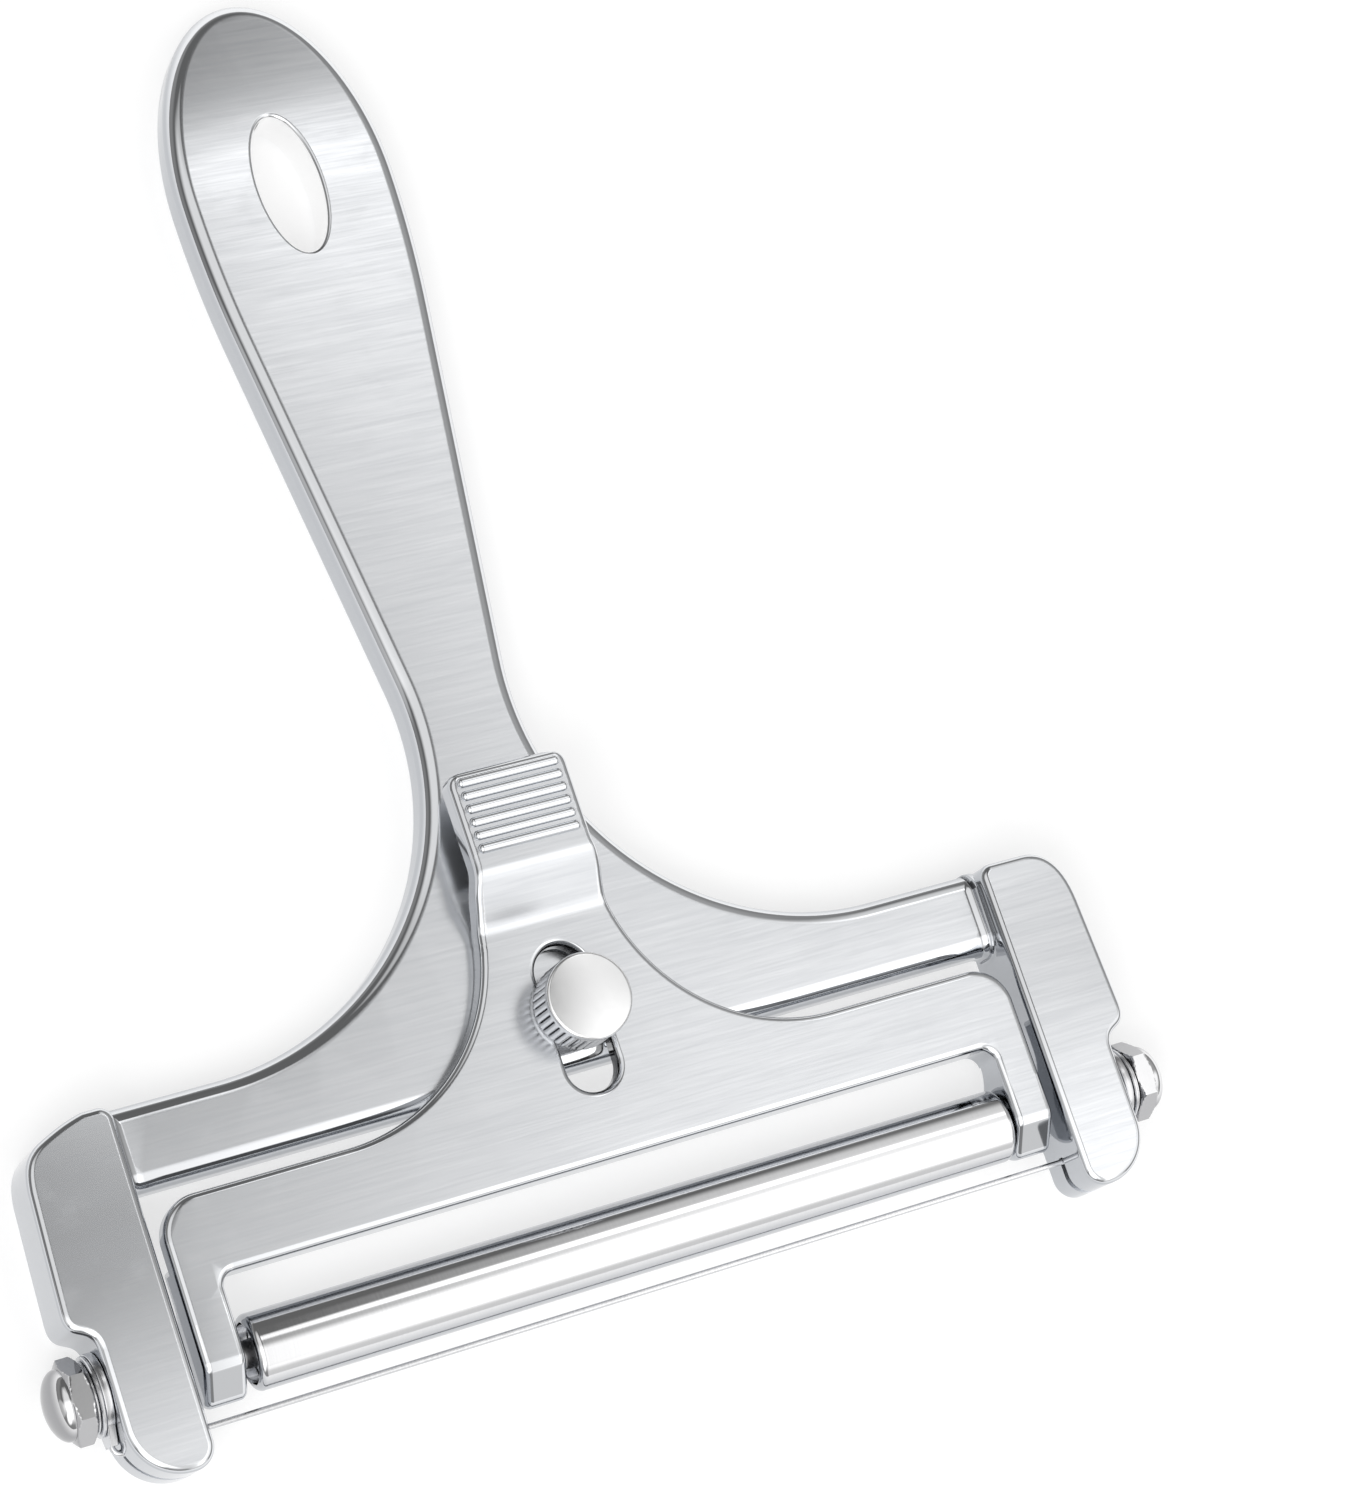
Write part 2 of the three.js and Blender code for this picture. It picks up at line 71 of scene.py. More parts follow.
class Val:
    """The output of a shader node, for use in Python arithmetic."""

    def __init__(self, tree: "Tree", socket: bpy.types.NodeSocket) -> None:
        """Keeps the tree the node is in and the output socket."""
        self.tree = tree
        self.socket = socket

    def _math(self, operation: str, *values: Value, clamp: bool = False) -> "Val":
        """Adds one Math node.

        Args:
            operation: the Math node's operation.
            values: its inputs, in order.
            clamp: whether the result is kept between 0 and 1.

        Returns:
            The node's result.
        """
        settings = {"operation": operation, "use_clamp": clamp}
        return self.tree.node("ShaderNodeMath", settings, dict(enumerate(values)))

    def __add__(self, other: Value) -> "Val":
        """Adds a number or a value."""
        return self._math("ADD", self, other)

    def __radd__(self, other: Value) -> "Val":
        """Adds this value to a number."""
        return self._math("ADD", other, self)

    def __sub__(self, other: Value) -> "Val":
        """Subtracts a number or a value."""
        return self._math("SUBTRACT", self, other)

    def __rsub__(self, other: Value) -> "Val":
        """Subtracts this value from a number."""
        return self._math("SUBTRACT", other, self)

    def __mul__(self, other: Value) -> "Val":
        """Multiplies by a number or a value."""
        return self._math("MULTIPLY", self, other)

    def __rmul__(self, other: Value) -> "Val":
        """Multiplies a number by this value."""
        return self._math("MULTIPLY", other, self)

    def __truediv__(self, other: Value) -> "Val":
        """Divides by a number or a value."""
        return self._math("DIVIDE", self, other)

    def __pow__(self, other: Value) -> "Val":
        """Raises to a power."""
        return self._math("POWER", self, other)

    def at_least(self, low: Value) -> "Val":
        """This value, or low where it is less."""
        return self._math("MAXIMUM", self, low)

    def __abs__(self) -> "Val":
        """Drops the sign."""
        return self._math("ABSOLUTE", self)

    def step(self, low: float, high: float) -> "Val":
        """A smooth step from 0 at low to 1 at high.

        Args:
            low: where the step begins.
            high: where it ends, which may be below low.

        Returns:
            The stepped value.
        """
        flipped = low > high
        ends = {1: min(low, high), 2: max(low, high)}
        ends |= {3: 1.0, 4: 0.0} if flipped else {3: 0.0, 4: 1.0}
        settings = {"interpolation_type": "SMOOTHSTEP"}
        return self.tree.node("ShaderNodeMapRange", settings, {0: self} | ends)

    def blend(self, a: Value, b: Value) -> "Val":
        """A number between a, where this value is 0, and b, where it is 1."""
        return self.tree.node("ShaderNodeMix", {"data_type": "FLOAT"}, {0: self, 2: a, 3: b})

    def blend_colors(self, a: Value, b: Value) -> "Val":
        """A colour between a, where this value is 0, and b, where it is 1."""
        ends = {0: self, 6: a, 7: b}
        return self.tree.node("ShaderNodeMix", {"data_type": "RGBA"}, ends, 2)

    def dot(self, direction: Point) -> "Val":
        """The dot product of this vector with a direction."""
        settings = {"operation": "DOT_PRODUCT"}
        return self.tree.node("ShaderNodeVectorMath", settings, {0: self, 1: direction}, 1)

    def part(self, axis: int) -> "Val":
        """One number of this vector, 0 for X to 2 for Z."""
        return self.tree.node("ShaderNodeSeparateXYZ", None, {0: self}, axis)

    def scaled(self, scale: Point) -> "Val":
        """This vector with each axis multiplied by its own number."""
        settings = {"operation": "MULTIPLY"}
        return self.tree.node("ShaderNodeVectorMath", settings, {0: self, 1: scale})


class Tree:
    """A node tree that is filled through one method."""

    def __init__(self, owner: bpy.types.Material | bpy.types.World) -> None:
        """Empties the owner's node tree and keeps it.

        Args:
            owner: the material or world.
        """
        owner.use_nodes = True
        self.nodes = owner.node_tree.nodes
        self.links = owner.node_tree.links
        self.nodes.clear()

    def node(
        self,
        kind: str,
        settings: dict[str, object] | None = None,
        inputs: dict[int | str, Value] | None = None,
        output: int | str = 0,
    ) -> Val:
        """Makes one node.

        Args:
            kind: the node's type.
            settings: attributes to set first.
            inputs: values or links of its sockets, by name or number.
            output: which output to return, by name or number.

        Returns:
            That output of the node.
        """
        made = self.nodes.new(kind)
        for name, value in (settings or {}).items():
            setattr(made, name, value)
        for key, value in (inputs or {}).items():
            if isinstance(value, Val):
                self.links.new(value.socket, made.inputs[key])
            else:
                made.inputs[key].default_value = value
        return Val(self, made.outputs[output]) if len(made.outputs) else Val(self, None)

    def place(self) -> Val:
        """The point on the object, in metres."""
        return self.node("ShaderNodeTexCoord", output="Object")

    def normal(self) -> Val:
        """The surface's own normal."""
        return self.node("ShaderNodeNewGeometry", output="Normal")

    def noise(self, where: Val, per_metre: Point, detail: float = 2.0, rough: float = 0.5) -> Val:
        """Noise with its own grain size along each axis.

        Args:
            where: the point that is looked up.
            per_metre: grains in a metre along X, Y and Z.
            detail: how many finer layers are added.
            rough: how strong the finer layers are.

        Returns:
            A value around 0.5.
        """
        inputs = {"Vector": where.scaled(per_metre), "Scale": 1.0}
        inputs |= {"Detail": detail, "Roughness": rough}
        return self.node("ShaderNodeTexNoise", None, inputs)


DEEPEST_MARK = 0.00004
# Painted shade: the near-black colour painted between the teeth of a knurled rim.
PAINTED_GROOVE_SHADE = (0.06, 0.06, 0.07, 1.0)


class Grain(Enum):
    """Which way a surface's fine marks run."""

    ALONG_X = "brushed along the wire's direction"
    ROUND_X = "turned about the wire's direction"
    NONE = "polished all over"


@dataclass(frozen=True)
class Bow:
    """A slight bow of a face that falls away along Y, in millimetres.

    Attributes:
        inner: how far from the middle line the bowed face begins.
        start: where along Y it starts to fall.
        bend: how much its slope grows in a millimetre.
        both_ways: whether it falls towards -Y as well.
    """

    inner: float
    start: float
    bend: float
    both_ways: bool

    def height(self, where: Val) -> Val:
        """How high the bowed face is, in metres.

        Args:
            where: the point on the object, in metres.

        Returns:
            The height, 0 on the line.
        """
        along = where.part(1) - (self.start + TIPS_Y) * MM
        if not self.both_ways:
            along = along.at_least(0.0)
        drop = along * along * (-0.5 * self.bend / MM)
        return drop * abs(where.part(0)).step((self.inner - 0.4) * MM, self.inner * MM)


@dataclass(frozen=True)
class Finish:
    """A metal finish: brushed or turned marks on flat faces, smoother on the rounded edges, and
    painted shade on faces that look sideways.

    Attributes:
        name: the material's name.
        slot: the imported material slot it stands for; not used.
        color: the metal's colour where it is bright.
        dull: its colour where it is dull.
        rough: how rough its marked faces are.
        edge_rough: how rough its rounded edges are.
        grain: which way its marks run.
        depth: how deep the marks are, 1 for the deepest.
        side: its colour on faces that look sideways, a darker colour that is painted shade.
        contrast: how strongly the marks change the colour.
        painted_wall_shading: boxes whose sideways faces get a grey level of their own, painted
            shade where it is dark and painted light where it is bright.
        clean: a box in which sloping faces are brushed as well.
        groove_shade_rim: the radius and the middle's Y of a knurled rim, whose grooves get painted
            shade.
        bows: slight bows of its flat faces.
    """

    name: str
    slot: str
    color: tuple[float, float, float]
    dull: tuple[float, float, float]
    rough: float
    edge_rough: float
    grain: Grain
    depth: float
    # Painted shade: faces that look sideways get this darker colour by default.
    side: tuple[float, float, float] = (0.62, 0.63, 0.65)
    contrast: float = 0.5
    # Painted shade and painted light on the sideways faces inside boxes.
    painted_wall_shading: tuple[tuple[Box, float], ...] = ()
    clean: Box | None = None
    # Where painted shade darkens a knurled rim's grooves.
    groove_shade_rim: tuple[float, float] | None = None
    bows: tuple[Bow, ...] = ()

    def marks(self, tree: Tree, where: Val) -> Val:
        """The height of the fine marks.

        Args:
            tree: the material's tree.
            where: the point on the object.

        Returns:
            A value around 0.5.
        """
        if self.grain is Grain.ALONG_X:
            fine = tree.noise(where, (120.0, 3200.0, 900.0), 3.0, 0.6)
            broad = tree.noise(where, (80.0, 1500.0, 300.0), 1.0, 0.5)
            return fine * 0.6 + broad * 0.4
        if self.grain is Grain.ROUND_X:
            return tree.noise(where, (4200.0, 60.0, 60.0), 3.0, 0.6)
        return tree.noise(where, (900.0, 900.0, 900.0), 4.0, 0.6)

    def inside(self, where: Val, box: Box, borders: Pair = (0.5, 1.2)) -> Val:
        """1 inside a box, and 0 outside it.

        Args:
            where: the point on the object, in metres.
            box: its low and high corners, in millimetres.
            borders: how soft it ends in X and in Y.

        Returns:
            The mask, with soft borders.
        """
        mask = where.part(2).step((box[0][2] - 0.2) * MM, box[0][2] * MM)
        for axis, border in enumerate(borders):
            shift = TIPS_Y if axis else 0.0
            low, high = ((end[axis] + shift) * MM for end in box)
            place, soft = where.part(axis), border * MM
            mask = mask * place.step(low - soft, low) * place.step(high + soft, high)
        return mask

    def groove_shade_mask(self, where: Val, up: Val) -> Val:
        """Where the painted shade goes: 1 deep between the teeth of a knurled rim, and 0 on their
        crests and on flat faces.

        Args:
            where: the point on the object, in metres.
            up: how far the surface faces up or down.

        Returns:
            The mask.
        """
        radius, middle = self.groove_shade_rim
        x, y = where.part(0), where.part(1) - (middle + TIPS_Y) * MM
        away = (x * x + y * y) ** 0.5
        return away.step(radius * MM, (radius - 0.26) * MM) * up.step(0.5, 0.3)

    def tone(self, where: Val, up: Val, shade: Val) -> Val:
        """The metal's colour, with painted shade on faces that look sideways and between a knurled
        rim's teeth, and the painted wall shading of its boxes.

        Args:
            where: the point on the object, in metres.
            up: how far the surface faces up or down.
            shade: 1 where the metal is dull.

        Returns:
            The colour.
        """
        color = shade.blend_colors((*self.color, 1.0), (*self.dull, 1.0))
        # Painted shade: faces that look sideways get the darker side colour, and inside the boxes a
        # painted grey level of their own.
        side = (*self.side, 1.0)
        for box, tone in self.painted_wall_shading:
            side = self.inside(where, box, (0.3, 0.3)).blend_colors(side, (tone, tone, tone, 1.0))
        color = up.step(0.85, 0.35).blend_colors(color, side)
        # Painted shade between the knurl's teeth.
        if self.groove_shade_rim:
            color = self.groove_shade_mask(where, up).blend_colors(color, PAINTED_GROOVE_SHADE)
        return color

    def material(self) -> bpy.types.Material:
        """Makes the finish's material.

        Returns:
            The new material.
        """
        made = bpy.data.materials.new(self.name)
        tree = Tree(made)
        where = tree.place()
        marks = self.marks(tree, where)
        clouds = tree.noise(where, (70.0, 90.0, 90.0), 3.0, 0.55)
        smudge = tree.noise(where, (260.0, 300.0, 300.0), 4.0, 0.6).step(0.52, 0.72)
        up = abs(tree.normal().dot((0.0, 0.0, 1.0)))
        flat = up.step(0.975, 0.998) if self.grain is Grain.ALONG_X else clouds.step(-1.0, 0.0)
        if self.clean:
            flat = flat.at_least(self.inside(where, self.clean))
        streaks = (marks - 0.5) * 2.0
        shade = flat * (0.4 + streaks * self.contrast) + (1.0 - flat) * 0.1
        brushed = self.rough + streaks * 0.05 + (clouds - 0.5) * 0.06 + smudge * 0.02
        polished = self.edge_rough + (clouds - 0.5) * 0.03 + smudge * 0.015
        if self.clean:
            brushed = brushed + self.inside(where, self.clean) * up.step(0.99, 0.9) * 0.15
        height = marks * flat * (self.depth * DEEPEST_MARK)
        for bow in self.bows:
            height = height + bow.height(where)
        inputs = {"Strength": 1.0, "Distance": 1.0, "Height": height}
        bump = tree.node("ShaderNodeBump", None, inputs, "Normal")
        inputs = {"Base Color": self.tone(where, up, shade), "Metallic": 1.0}
        inputs |= {"Roughness": flat.blend(polished, brushed).at_least(0.03), "Normal": bump}
        surface = tree.node("ShaderNodeBsdfPrincipled", None, inputs)
        tree.node("ShaderNodeOutputMaterial", None, {"Surface": surface})
        return made


BRIGHT = (0.85, 0.862, 0.88)
CASTING = Finish(
    name="brushed_casting",
    slot="casting",
    color=BRIGHT,
    dull=(0.71, 0.725, 0.75),
    rough=0.22,
    edge_rough=0.06,
    grain=Grain.ALONG_X,
    depth=0.018,
    # Painted shade on the casting's sideways walls.
    side=(0.5, 0.515, 0.54),
    contrast=0.9,
    # Painted light: the hanging hole's walls are painted near white, like the lit floor.
    painted_wall_shading=((((-4.6, 123.0, 0.2), (4.6, 144.0, 5.9)), 0.95),),
    bows=(Bow(0.0, 132.0, 0.0095, False), Bow(51.9, 15.0, 0.0045, True)),
)
SLIDER = replace(
    CASTING,
    name="brushed_slider",
    # Painted shade: the slot's walls are painted nearly black, as the shade inside the slot.
    painted_wall_shading=((((-3.4, 24.0, 0.2), (3.4, 44.0, 8.3)), 0.16),),
    clean=((-6.6, 44.0, 8.4), (6.6, 52.9, 14.0)),
    bows=(),
)
POLISHED = Finish(
    name="polished_plating",
    slot="polished",
    color=(0.9, 0.9, 0.905),
    dull=(0.84, 0.84, 0.85),
    rough=0.05,
    edge_rough=0.05,
    grain=Grain.NONE,
    depth=0.03,
    # Painted shade on sideways faces.
    side=(0.52, 0.53, 0.55),
)
ROLLER_FACE = replace(
    # Painted shade on the roller's sideways faces.
    POLISHED, name="turned_roller", rough=0.07, grain=Grain.ROUND_X, side=(0.5, 0.51, 0.53)
)
KNURLED = replace(
    POLISHED,
    name="knurled_knob",
    color=(0.97, 0.97, 0.97),
    dull=(0.96, 0.96, 0.96),
    rough=0.24,
    depth=0.0,
    # Painted shade between the knob's teeth.
    groove_shade_rim=(4.76, 35.1),
)
# Painted shade: the nuts' sideways faces and dome sides are painted dark grey.
NUT_FACE = replace(POLISHED, name="polished_nut", side=(0.36, 0.36, 0.37))
TURNED = Finish(
    name="turned_steel",
    slot="steel",
    color=(0.78, 0.78, 0.79),
    dull=(0.62, 0.62, 0.63),
    rough=0.22,
    edge_rough=0.22,
    grain=Grain.ROUND_X,
    depth=0.25,
)
WIRE_STEEL = replace(
    TURNED,
    name="drawn_wire",
    slot="wire",
    color=(0.84, 0.84, 0.85),
    dull=(0.66, 0.66, 0.67),
    rough=0.2,
    edge_rough=0.2,
    depth=0.08,
)


# ---------------------------------------------------------------- outlines and shells


@dataclass
class Outline:
    """A closed line in a plane, in millimetres, kept with the material on its left."""

    points: list[Pair] = field(default_factory=list)

    def line(self, *points: Pair) -> "Outline":
        """Adds corners."""
        self.points.extend(points)
        return self

    def arc(
        self, centre: Pair, radii: float | Pair, start: float, end: float, step: float = 4.0
    ) -> "Outline":
        """Adds an arc of a circle or an ellipse.

        Args:
            centre: its centre.
            radii: its radius, or its two half-axes.
            start: the angle it starts from, in degrees.
            end: the angle it ends at, in degrees.
            step: the largest turn between two points, in degrees.

        Returns:
            The outline itself.
        """
        rx, ry = radii if isinstance(radii, tuple) else (radii, radii)
        count = max(2, math.ceil(abs(end - start) / step))
        for index in range(count + 1):
            angle = math.radians(start + (end - start) * index / count)
            self.points.append((centre[0] + rx * math.cos(angle), centre[1] + ry * math.sin(angle)))
        return self

    def curve(self, a: Pair, b: Pair, end: Pair, count: int = 12) -> "Outline":
        """Adds a cubic curve from the last point.

        Args:
            a: the first handle.
            b: the second handle.
            end: where it ends.
            count: how many points it is given.

        Returns:
            The outline itself.
        """
        start = self.points[-1]
        for index in range(1, count + 1):
            t = index / count
            u = 1 - t
            weights = (u**3, 3 * u * u * t, 3 * u * t * t, t**3)
            ends = (start, a, b, end)
            self.points.append(tuple(sum(w * p[k] for w, p in zip(weights, ends)) for k in (0, 1)))
        return self

    def mirrored(self) -> "Outline":
        """The same outline with its other half, left of the middle line, added."""
        left = [(-x, y) for x, y in reversed(self.points) if abs(x) > 1e-6]
        return Outline(self.points + left)

    def flipped(self, side: int) -> "Outline":
        """The outline on the given side of the middle line, 1 for right and -1 for left."""
        return Outline([(side * x, y) for x, y in self.points])

    def cleaned(self) -> list[Pair]:
        """Drops repeated points.

        Returns:
            The points that are left.
        """
        kept: list[Pair] = []
        for point in self.points:
            if not kept or math.dist(point, kept[-1]) > 0.01:
                kept.append(point)
        while math.dist(kept[0], kept[-1]) < 0.01:
            kept.pop()
        return kept

    def wound(self, hole: bool = False) -> list[Pair]:
        """Puts the points in order round the material.

        Args:
            hole: whether the outline is a hole's.

        Returns:
            The points, anticlockwise, or clockwise for a hole.
        """
        kept = self.cleaned()
        area = sum(a[0] * b[1] - b[0] * a[1] for a, b in zip(kept, kept[1:] + kept[:1]))
        return kept if (area > 0) != hole else kept[::-1]


def shrunk(points: list[Pair], distance: float) -> list[Pair]:
    """Moves a closed line towards its left, by mitred corners.

    Args:
        points: the line.
        distance: how far it moves.

    Returns:
        The moved line.
    """
    if distance == 0:
        return points
    moved = []
    for before, here, after in zip(points[-1:] + points[:-1], points, points[1:] + points[:1]):
        a = (Vector(here) - Vector(before)).normalized()
        b = (Vector(after) - Vector(here)).normalized()
        left_a = Vector((-a.y, a.x))
        middle = left_a + Vector((-b.y, b.x))
        middle = middle.normalized() if middle.length > 1e-6 else left_a
        reach = distance / max(0.35, middle.dot(left_a))
        moved.append((here[0] + middle.x * reach, here[1] + middle.y * reach))
    return moved


def straight(point: Point) -> Point:
    """A point of a slab that lies flat, as it is."""
    return point


def crosswise(point: Point) -> Point:
    """Turns an outline in Y and Z that rises in X into place."""
    return (point[2], point[0], point[1])


@dataclass
class Shell:
    """Closed surfaces that are gathered into one mesh, in millimetres."""

    points: list[Point] = field(default_factory=list)
    faces: list[tuple[int, ...]] = field(default_factory=list)
    caps: list[list[list[int]]] = field(default_factory=list)

    def ring(self, points: Iterable[Point]) -> list[int]:
        """Adds a ring of points.

        Args:
            points: the points, in millimetres.

        Returns:
            Their numbers.
        """
        start = len(self.points)
        self.points.extend(points)
        return list(range(start, len(self.points)))

    def bridge(self, a: list[int], b: list[int]) -> None:
        """Joins two rings of the same length with faces.

        Args:
            a: the numbers of one ring's points.
            b: the numbers of the other's.
        """
        for i in range(len(a)):
            j = (i + 1) % len(a)
            self.faces.append((a[i], a[j], b[j], b[i]))

    def loft(self, rings: list[list[int]], closed: bool = False) -> None:
        """Joins rings in order, and closes the ends, or the last ring to the first.

        Args:
            rings: the rings.
            closed: whether the last ring meets the first.
        """
        for a, b in zip(rings, rings[1:]):
            self.bridge(a, b)
        if closed:
            self.bridge(rings[-1], rings[0])
        else:
            self.caps.append([rings[0]])
            self.caps.append([rings[-1]])

    def slab(
        self,
        outer: Outline,
        low: float,
        high: float,
        front: float,
        back: float,
        holes: Sequence[Outline] = (),
        hole_fillet: float = 0.3,
        steps: int = 8,
        place: Callable[[Point], Point] = straight,
    ) -> None:
        """Adds a plate with rounded edges.

        Args:
            outer: its outline.
            low: the height of its back face.
            high: the height of its front face.
            front: the radius of its front edge.
            back: the radius of its back edge.
            holes: the outlines of its holes.
            hole_fillet: the radius of the holes' edges.
            steps: how many faces round each edge.
            place: puts a point of the plate in the frame.
        """
        lows, highs = [], []
        for number, loop in enumerate([outer, *holes]):
            points = loop.wound(hole=number > 0)
            below, above = (hole_fillet, hole_fillet) if number else (back, front)
            levels = [(inset, low + drop) for inset, drop in rounding(steps, below)[::-1]]
            levels += [(inset, high - drop) for inset, drop in rounding(steps, above)]
            rings = [
                self.ring(place((x, y, z)) for x, y in shrunk(points, inset))
                for inset, z in levels
            ]
            for a, b in zip(rings, rings[1:]):
                self.bridge(a, b)
            lows.append(rings[0])
            highs.append(rings[-1])
        self.caps.append(lows)
        self.caps.append(highs)

    def turned(
        self,
        profile: Sequence[Pair],
        place: Callable[[Point], Point],
        segments: int = 96,
        closed: bool = True,
        shape: Callable[[float, float, float], float] | None = None,
    ) -> None:
        """Adds a turned body.

        Args:
            profile: its radius and height at each ring.
            place: puts a point, whose third number is the height, in the frame.
            segments: how many points a ring has.
            closed: whether the last ring meets the first, as in a tube.
            shape: gives the radius from radius, height and angle where it isn't round.
        """
        rings = []
        for radius, height in profile:
            ring = []
            for index in range(segments):
                angle = 2 * math.pi * index / segments
                r = shape(radius, height, angle) if shape else radius
                ring.append(place((r * math.cos(angle), r * math.sin(angle), height)))
            rings.append(self.ring(ring))
        self.loft(rings, closed)

    def build(self, name: str, sharp: float = CRISP) -> bpy.types.Object:
        """Makes the mesh object.

        Args:
            name: the object's name.
            sharp: edges that turn by more than this many degrees stay crisp.

        Returns:
            The object, in metres and in place.
        """
        made = bmesh.new()
        verts = [made.verts.new((x * MM, (y + TIPS_Y) * MM, z * MM)) for x, y, z in self.points]
        for face in self.faces:
            if len({verts[i] for i in face}) == len(face):
                made.faces.new([verts[i] for i in face])
        for loops in self.caps:
            if len(loops) == 1:
                made.faces.new([verts[i] for i in loops[0]])
                continue
            edges = []
            for loop in loops:
                for i, j in zip(loop, loop[1:] + loop[:1]):
                    found = made.edges.get((verts[i], verts[j]))
                    edges.append(found or made.edges.new((verts[i], verts[j])))
            bmesh.ops.triangle_fill(made, use_beauty=True, use_dissolve=False, edges=edges)
        bmesh.ops.remove_doubles(made, verts=made.verts, dist=1e-7)
        bmesh.ops.recalc_face_normals(made, faces=made.faces)
        mesh = bpy.data.meshes.new(name)
        made.to_mesh(mesh)
        made.free()
        built = bpy.data.objects.new(name, mesh)
        bpy.context.scene.collection.objects.link(built)
        soften(built, sharp)
        return built


def eased(t: float, ease: float) -> float:
    """A straight rise from 0 to 1 with rounded ends.

    Args:
        t: how far along it is.
        ease: the share of the rise that each end takes.

    Returns:
        The height.
    """
    t = max(0.0, min(1.0, t))
    if t > 1 - ease:
        return 1 - (1 - t) ** 2 / (2 * ease * (1 - ease))
    return t * t / (2 * ease * (1 - ease)) if t < ease else (t - ease / 2) / (1 - ease)


def arcs(steps: int, radius: float) -> list[float]:
    """The angles of a quarter round, from the wall to the face, or one level where it is square."""
    return [QUARTER * k / steps for k in range(steps + 1)] if radius > 0 else [QUARTER]


def rounding(steps: int, radius: float) -> list[Pair]:
    """How far in and how far down the points of a rounded edge lie, from the wall to the face."""
    return [(radius * (1 - math.cos(a)), radius * (1 - math.sin(a))) for a in arcs(steps, radius)]


def washer_profile(bore: float, radius: float, low: float, high: float, edge: float) -> list[Pair]:
    """The section of a washer.

    Args:
        bore: the radius of its hole.
        radius: its own radius.
        low: the height of its underside.
        high: the height of its top.
        edge: the chamfer round its rim.

    Returns:
        Radius and height at each corner.
    """
    rim = [(radius - edge, low), (radius, low + edge), (radius, high - edge), (radius - edge, high)]
    return [(bore, low), *rim, (bore, high)]


def thread_profile(radius: float, low: float, high: float, lead: float) -> list[Pair]:
    """The section of a threaded stud, whose thread is a row of shallow grooves.

    Args:
        radius: its radius over the crests.
        low: the height of one end.
        high: the height of the other end.
        lead: how far from the low end the first crest is.

    Returns:
        Radius and height at each crest and root.
    """
    pitch, root, end = 0.4, 0.28, 0.4
    count = int((high - low - 0.5) / pitch)
    turns = [(radius - (root if k % 2 else 0.0), low + lead + pitch * k) for k in range(count)]
    return [(radius - end, low), *turns, (radius - end, high)]


def soften(piece: bpy.types.Object, sharp: float) -> None:
    """Shades a piece smooth, with crisp edges where it turns sharply and flat faces kept flat.

    Args:
        piece: the object.
        sharp: the angle from which an edge stays crisp, in degrees.
    """
    made = bmesh.new()
    made.from_mesh(piece.data)
    for face in made.faces:
        face.smooth = True
    for edge in made.edges:
        edge.smooth = edge.calc_face_angle(0.0) < math.radians(sharp)
    made.to_mesh(piece.data)
    made.free()
    if KEPT_FLAT not in piece.modifiers:
        weighted = piece.modifiers.new(KEPT_FLAT, "WEIGHTED_NORMAL")
        weighted.keep_sharp = True
        weighted.weight = 60


class Join(Enum):
    """What is done with the tools that meet a piece."""

    CUT = "DIFFERENCE"
    WELD = "UNION"


def carved(
    piece: bpy.types.Object,
    tools: Sequence[bpy.types.Object],
    sharp: float = CRISP,
    how: Join = Join.CUT,
) -> None:
    """Cuts tools out of a piece, or adds them to it, and removes them.

    Args:
        piece: the object that is cut.
        tools: closed objects.
        sharp: the angle from which an edge stays crisp, in degrees.
        how: whether they are cut out or added.
    """
    weighted = piece.modifiers.get(KEPT_FLAT)
    if weighted:
        piece.modifiers.remove(weighted)
    for tool in tools:
        tool.modifiers.clear()
        cut = piece.modifiers.new("cut", "BOOLEAN")
        cut.operation = how.value
        cut.solver = "EXACT"
        cut.object = tool
    seen = piece.evaluated_get(bpy.context.evaluated_depsgraph_get())
    mesh = bpy.data.meshes.new_from_object(seen)
    piece.modifiers.clear()
    piece.data = mesh
    for tool in tools:
        bpy.data.objects.remove(tool)
    soften(piece, sharp)


def welded(name: str, pieces: Sequence[bpy.types.Object], sharp: float = CRISP) -> bpy.types.Object:
    """Melts overlapping pieces into one closed surface.

    Args:
        name: the whole's name.
        pieces: the objects, all but the first of which are removed.
        sharp: the angle from which an edge stays crisp, in degrees.

    Returns:
        The whole.
    """
    whole, *others = pieces
    whole.name = whole.data.name = name
    carved(whole, others, sharp, Join.WELD)
    whole.data.name = name
    return whole


def about_x(y: float, z: float, side: int = 1) -> Callable[[Point], Point]:
    """Places a body turned about an X axis, its height running away from the middle on a side."""
    return lambda p: (side * p[2], y + p[0], z + p[1])


def about_z(y: float) -> Callable[[Point], Point]:
    """Places a body turned about an upright axis on the middle line."""
    return lambda p: (p[0], y + p[1], p[2])


class Workshop:
    """Hands finished pieces over to the frame, each with its finish."""

    def __init__(self) -> None:
        """Starts with no materials made."""
        self.made: dict[str, bpy.types.Material] = {}

    def finish(self, piece: bpy.types.Object, body: str, node: str, finish: Finish) -> None:
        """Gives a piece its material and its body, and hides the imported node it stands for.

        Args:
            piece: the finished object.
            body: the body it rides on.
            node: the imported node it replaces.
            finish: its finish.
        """
        if finish.name not in self.made:
            self.made[finish.name] = finish.material()
        piece.data.materials.clear()
        piece.data.materials.append(self.made[finish.name])
        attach(piece, body)
        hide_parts(node)
        log.info("%s: %d faces on %s", piece.name, len(piece.data.polygons), body)


# ---------------------------------------------------------------- the frame


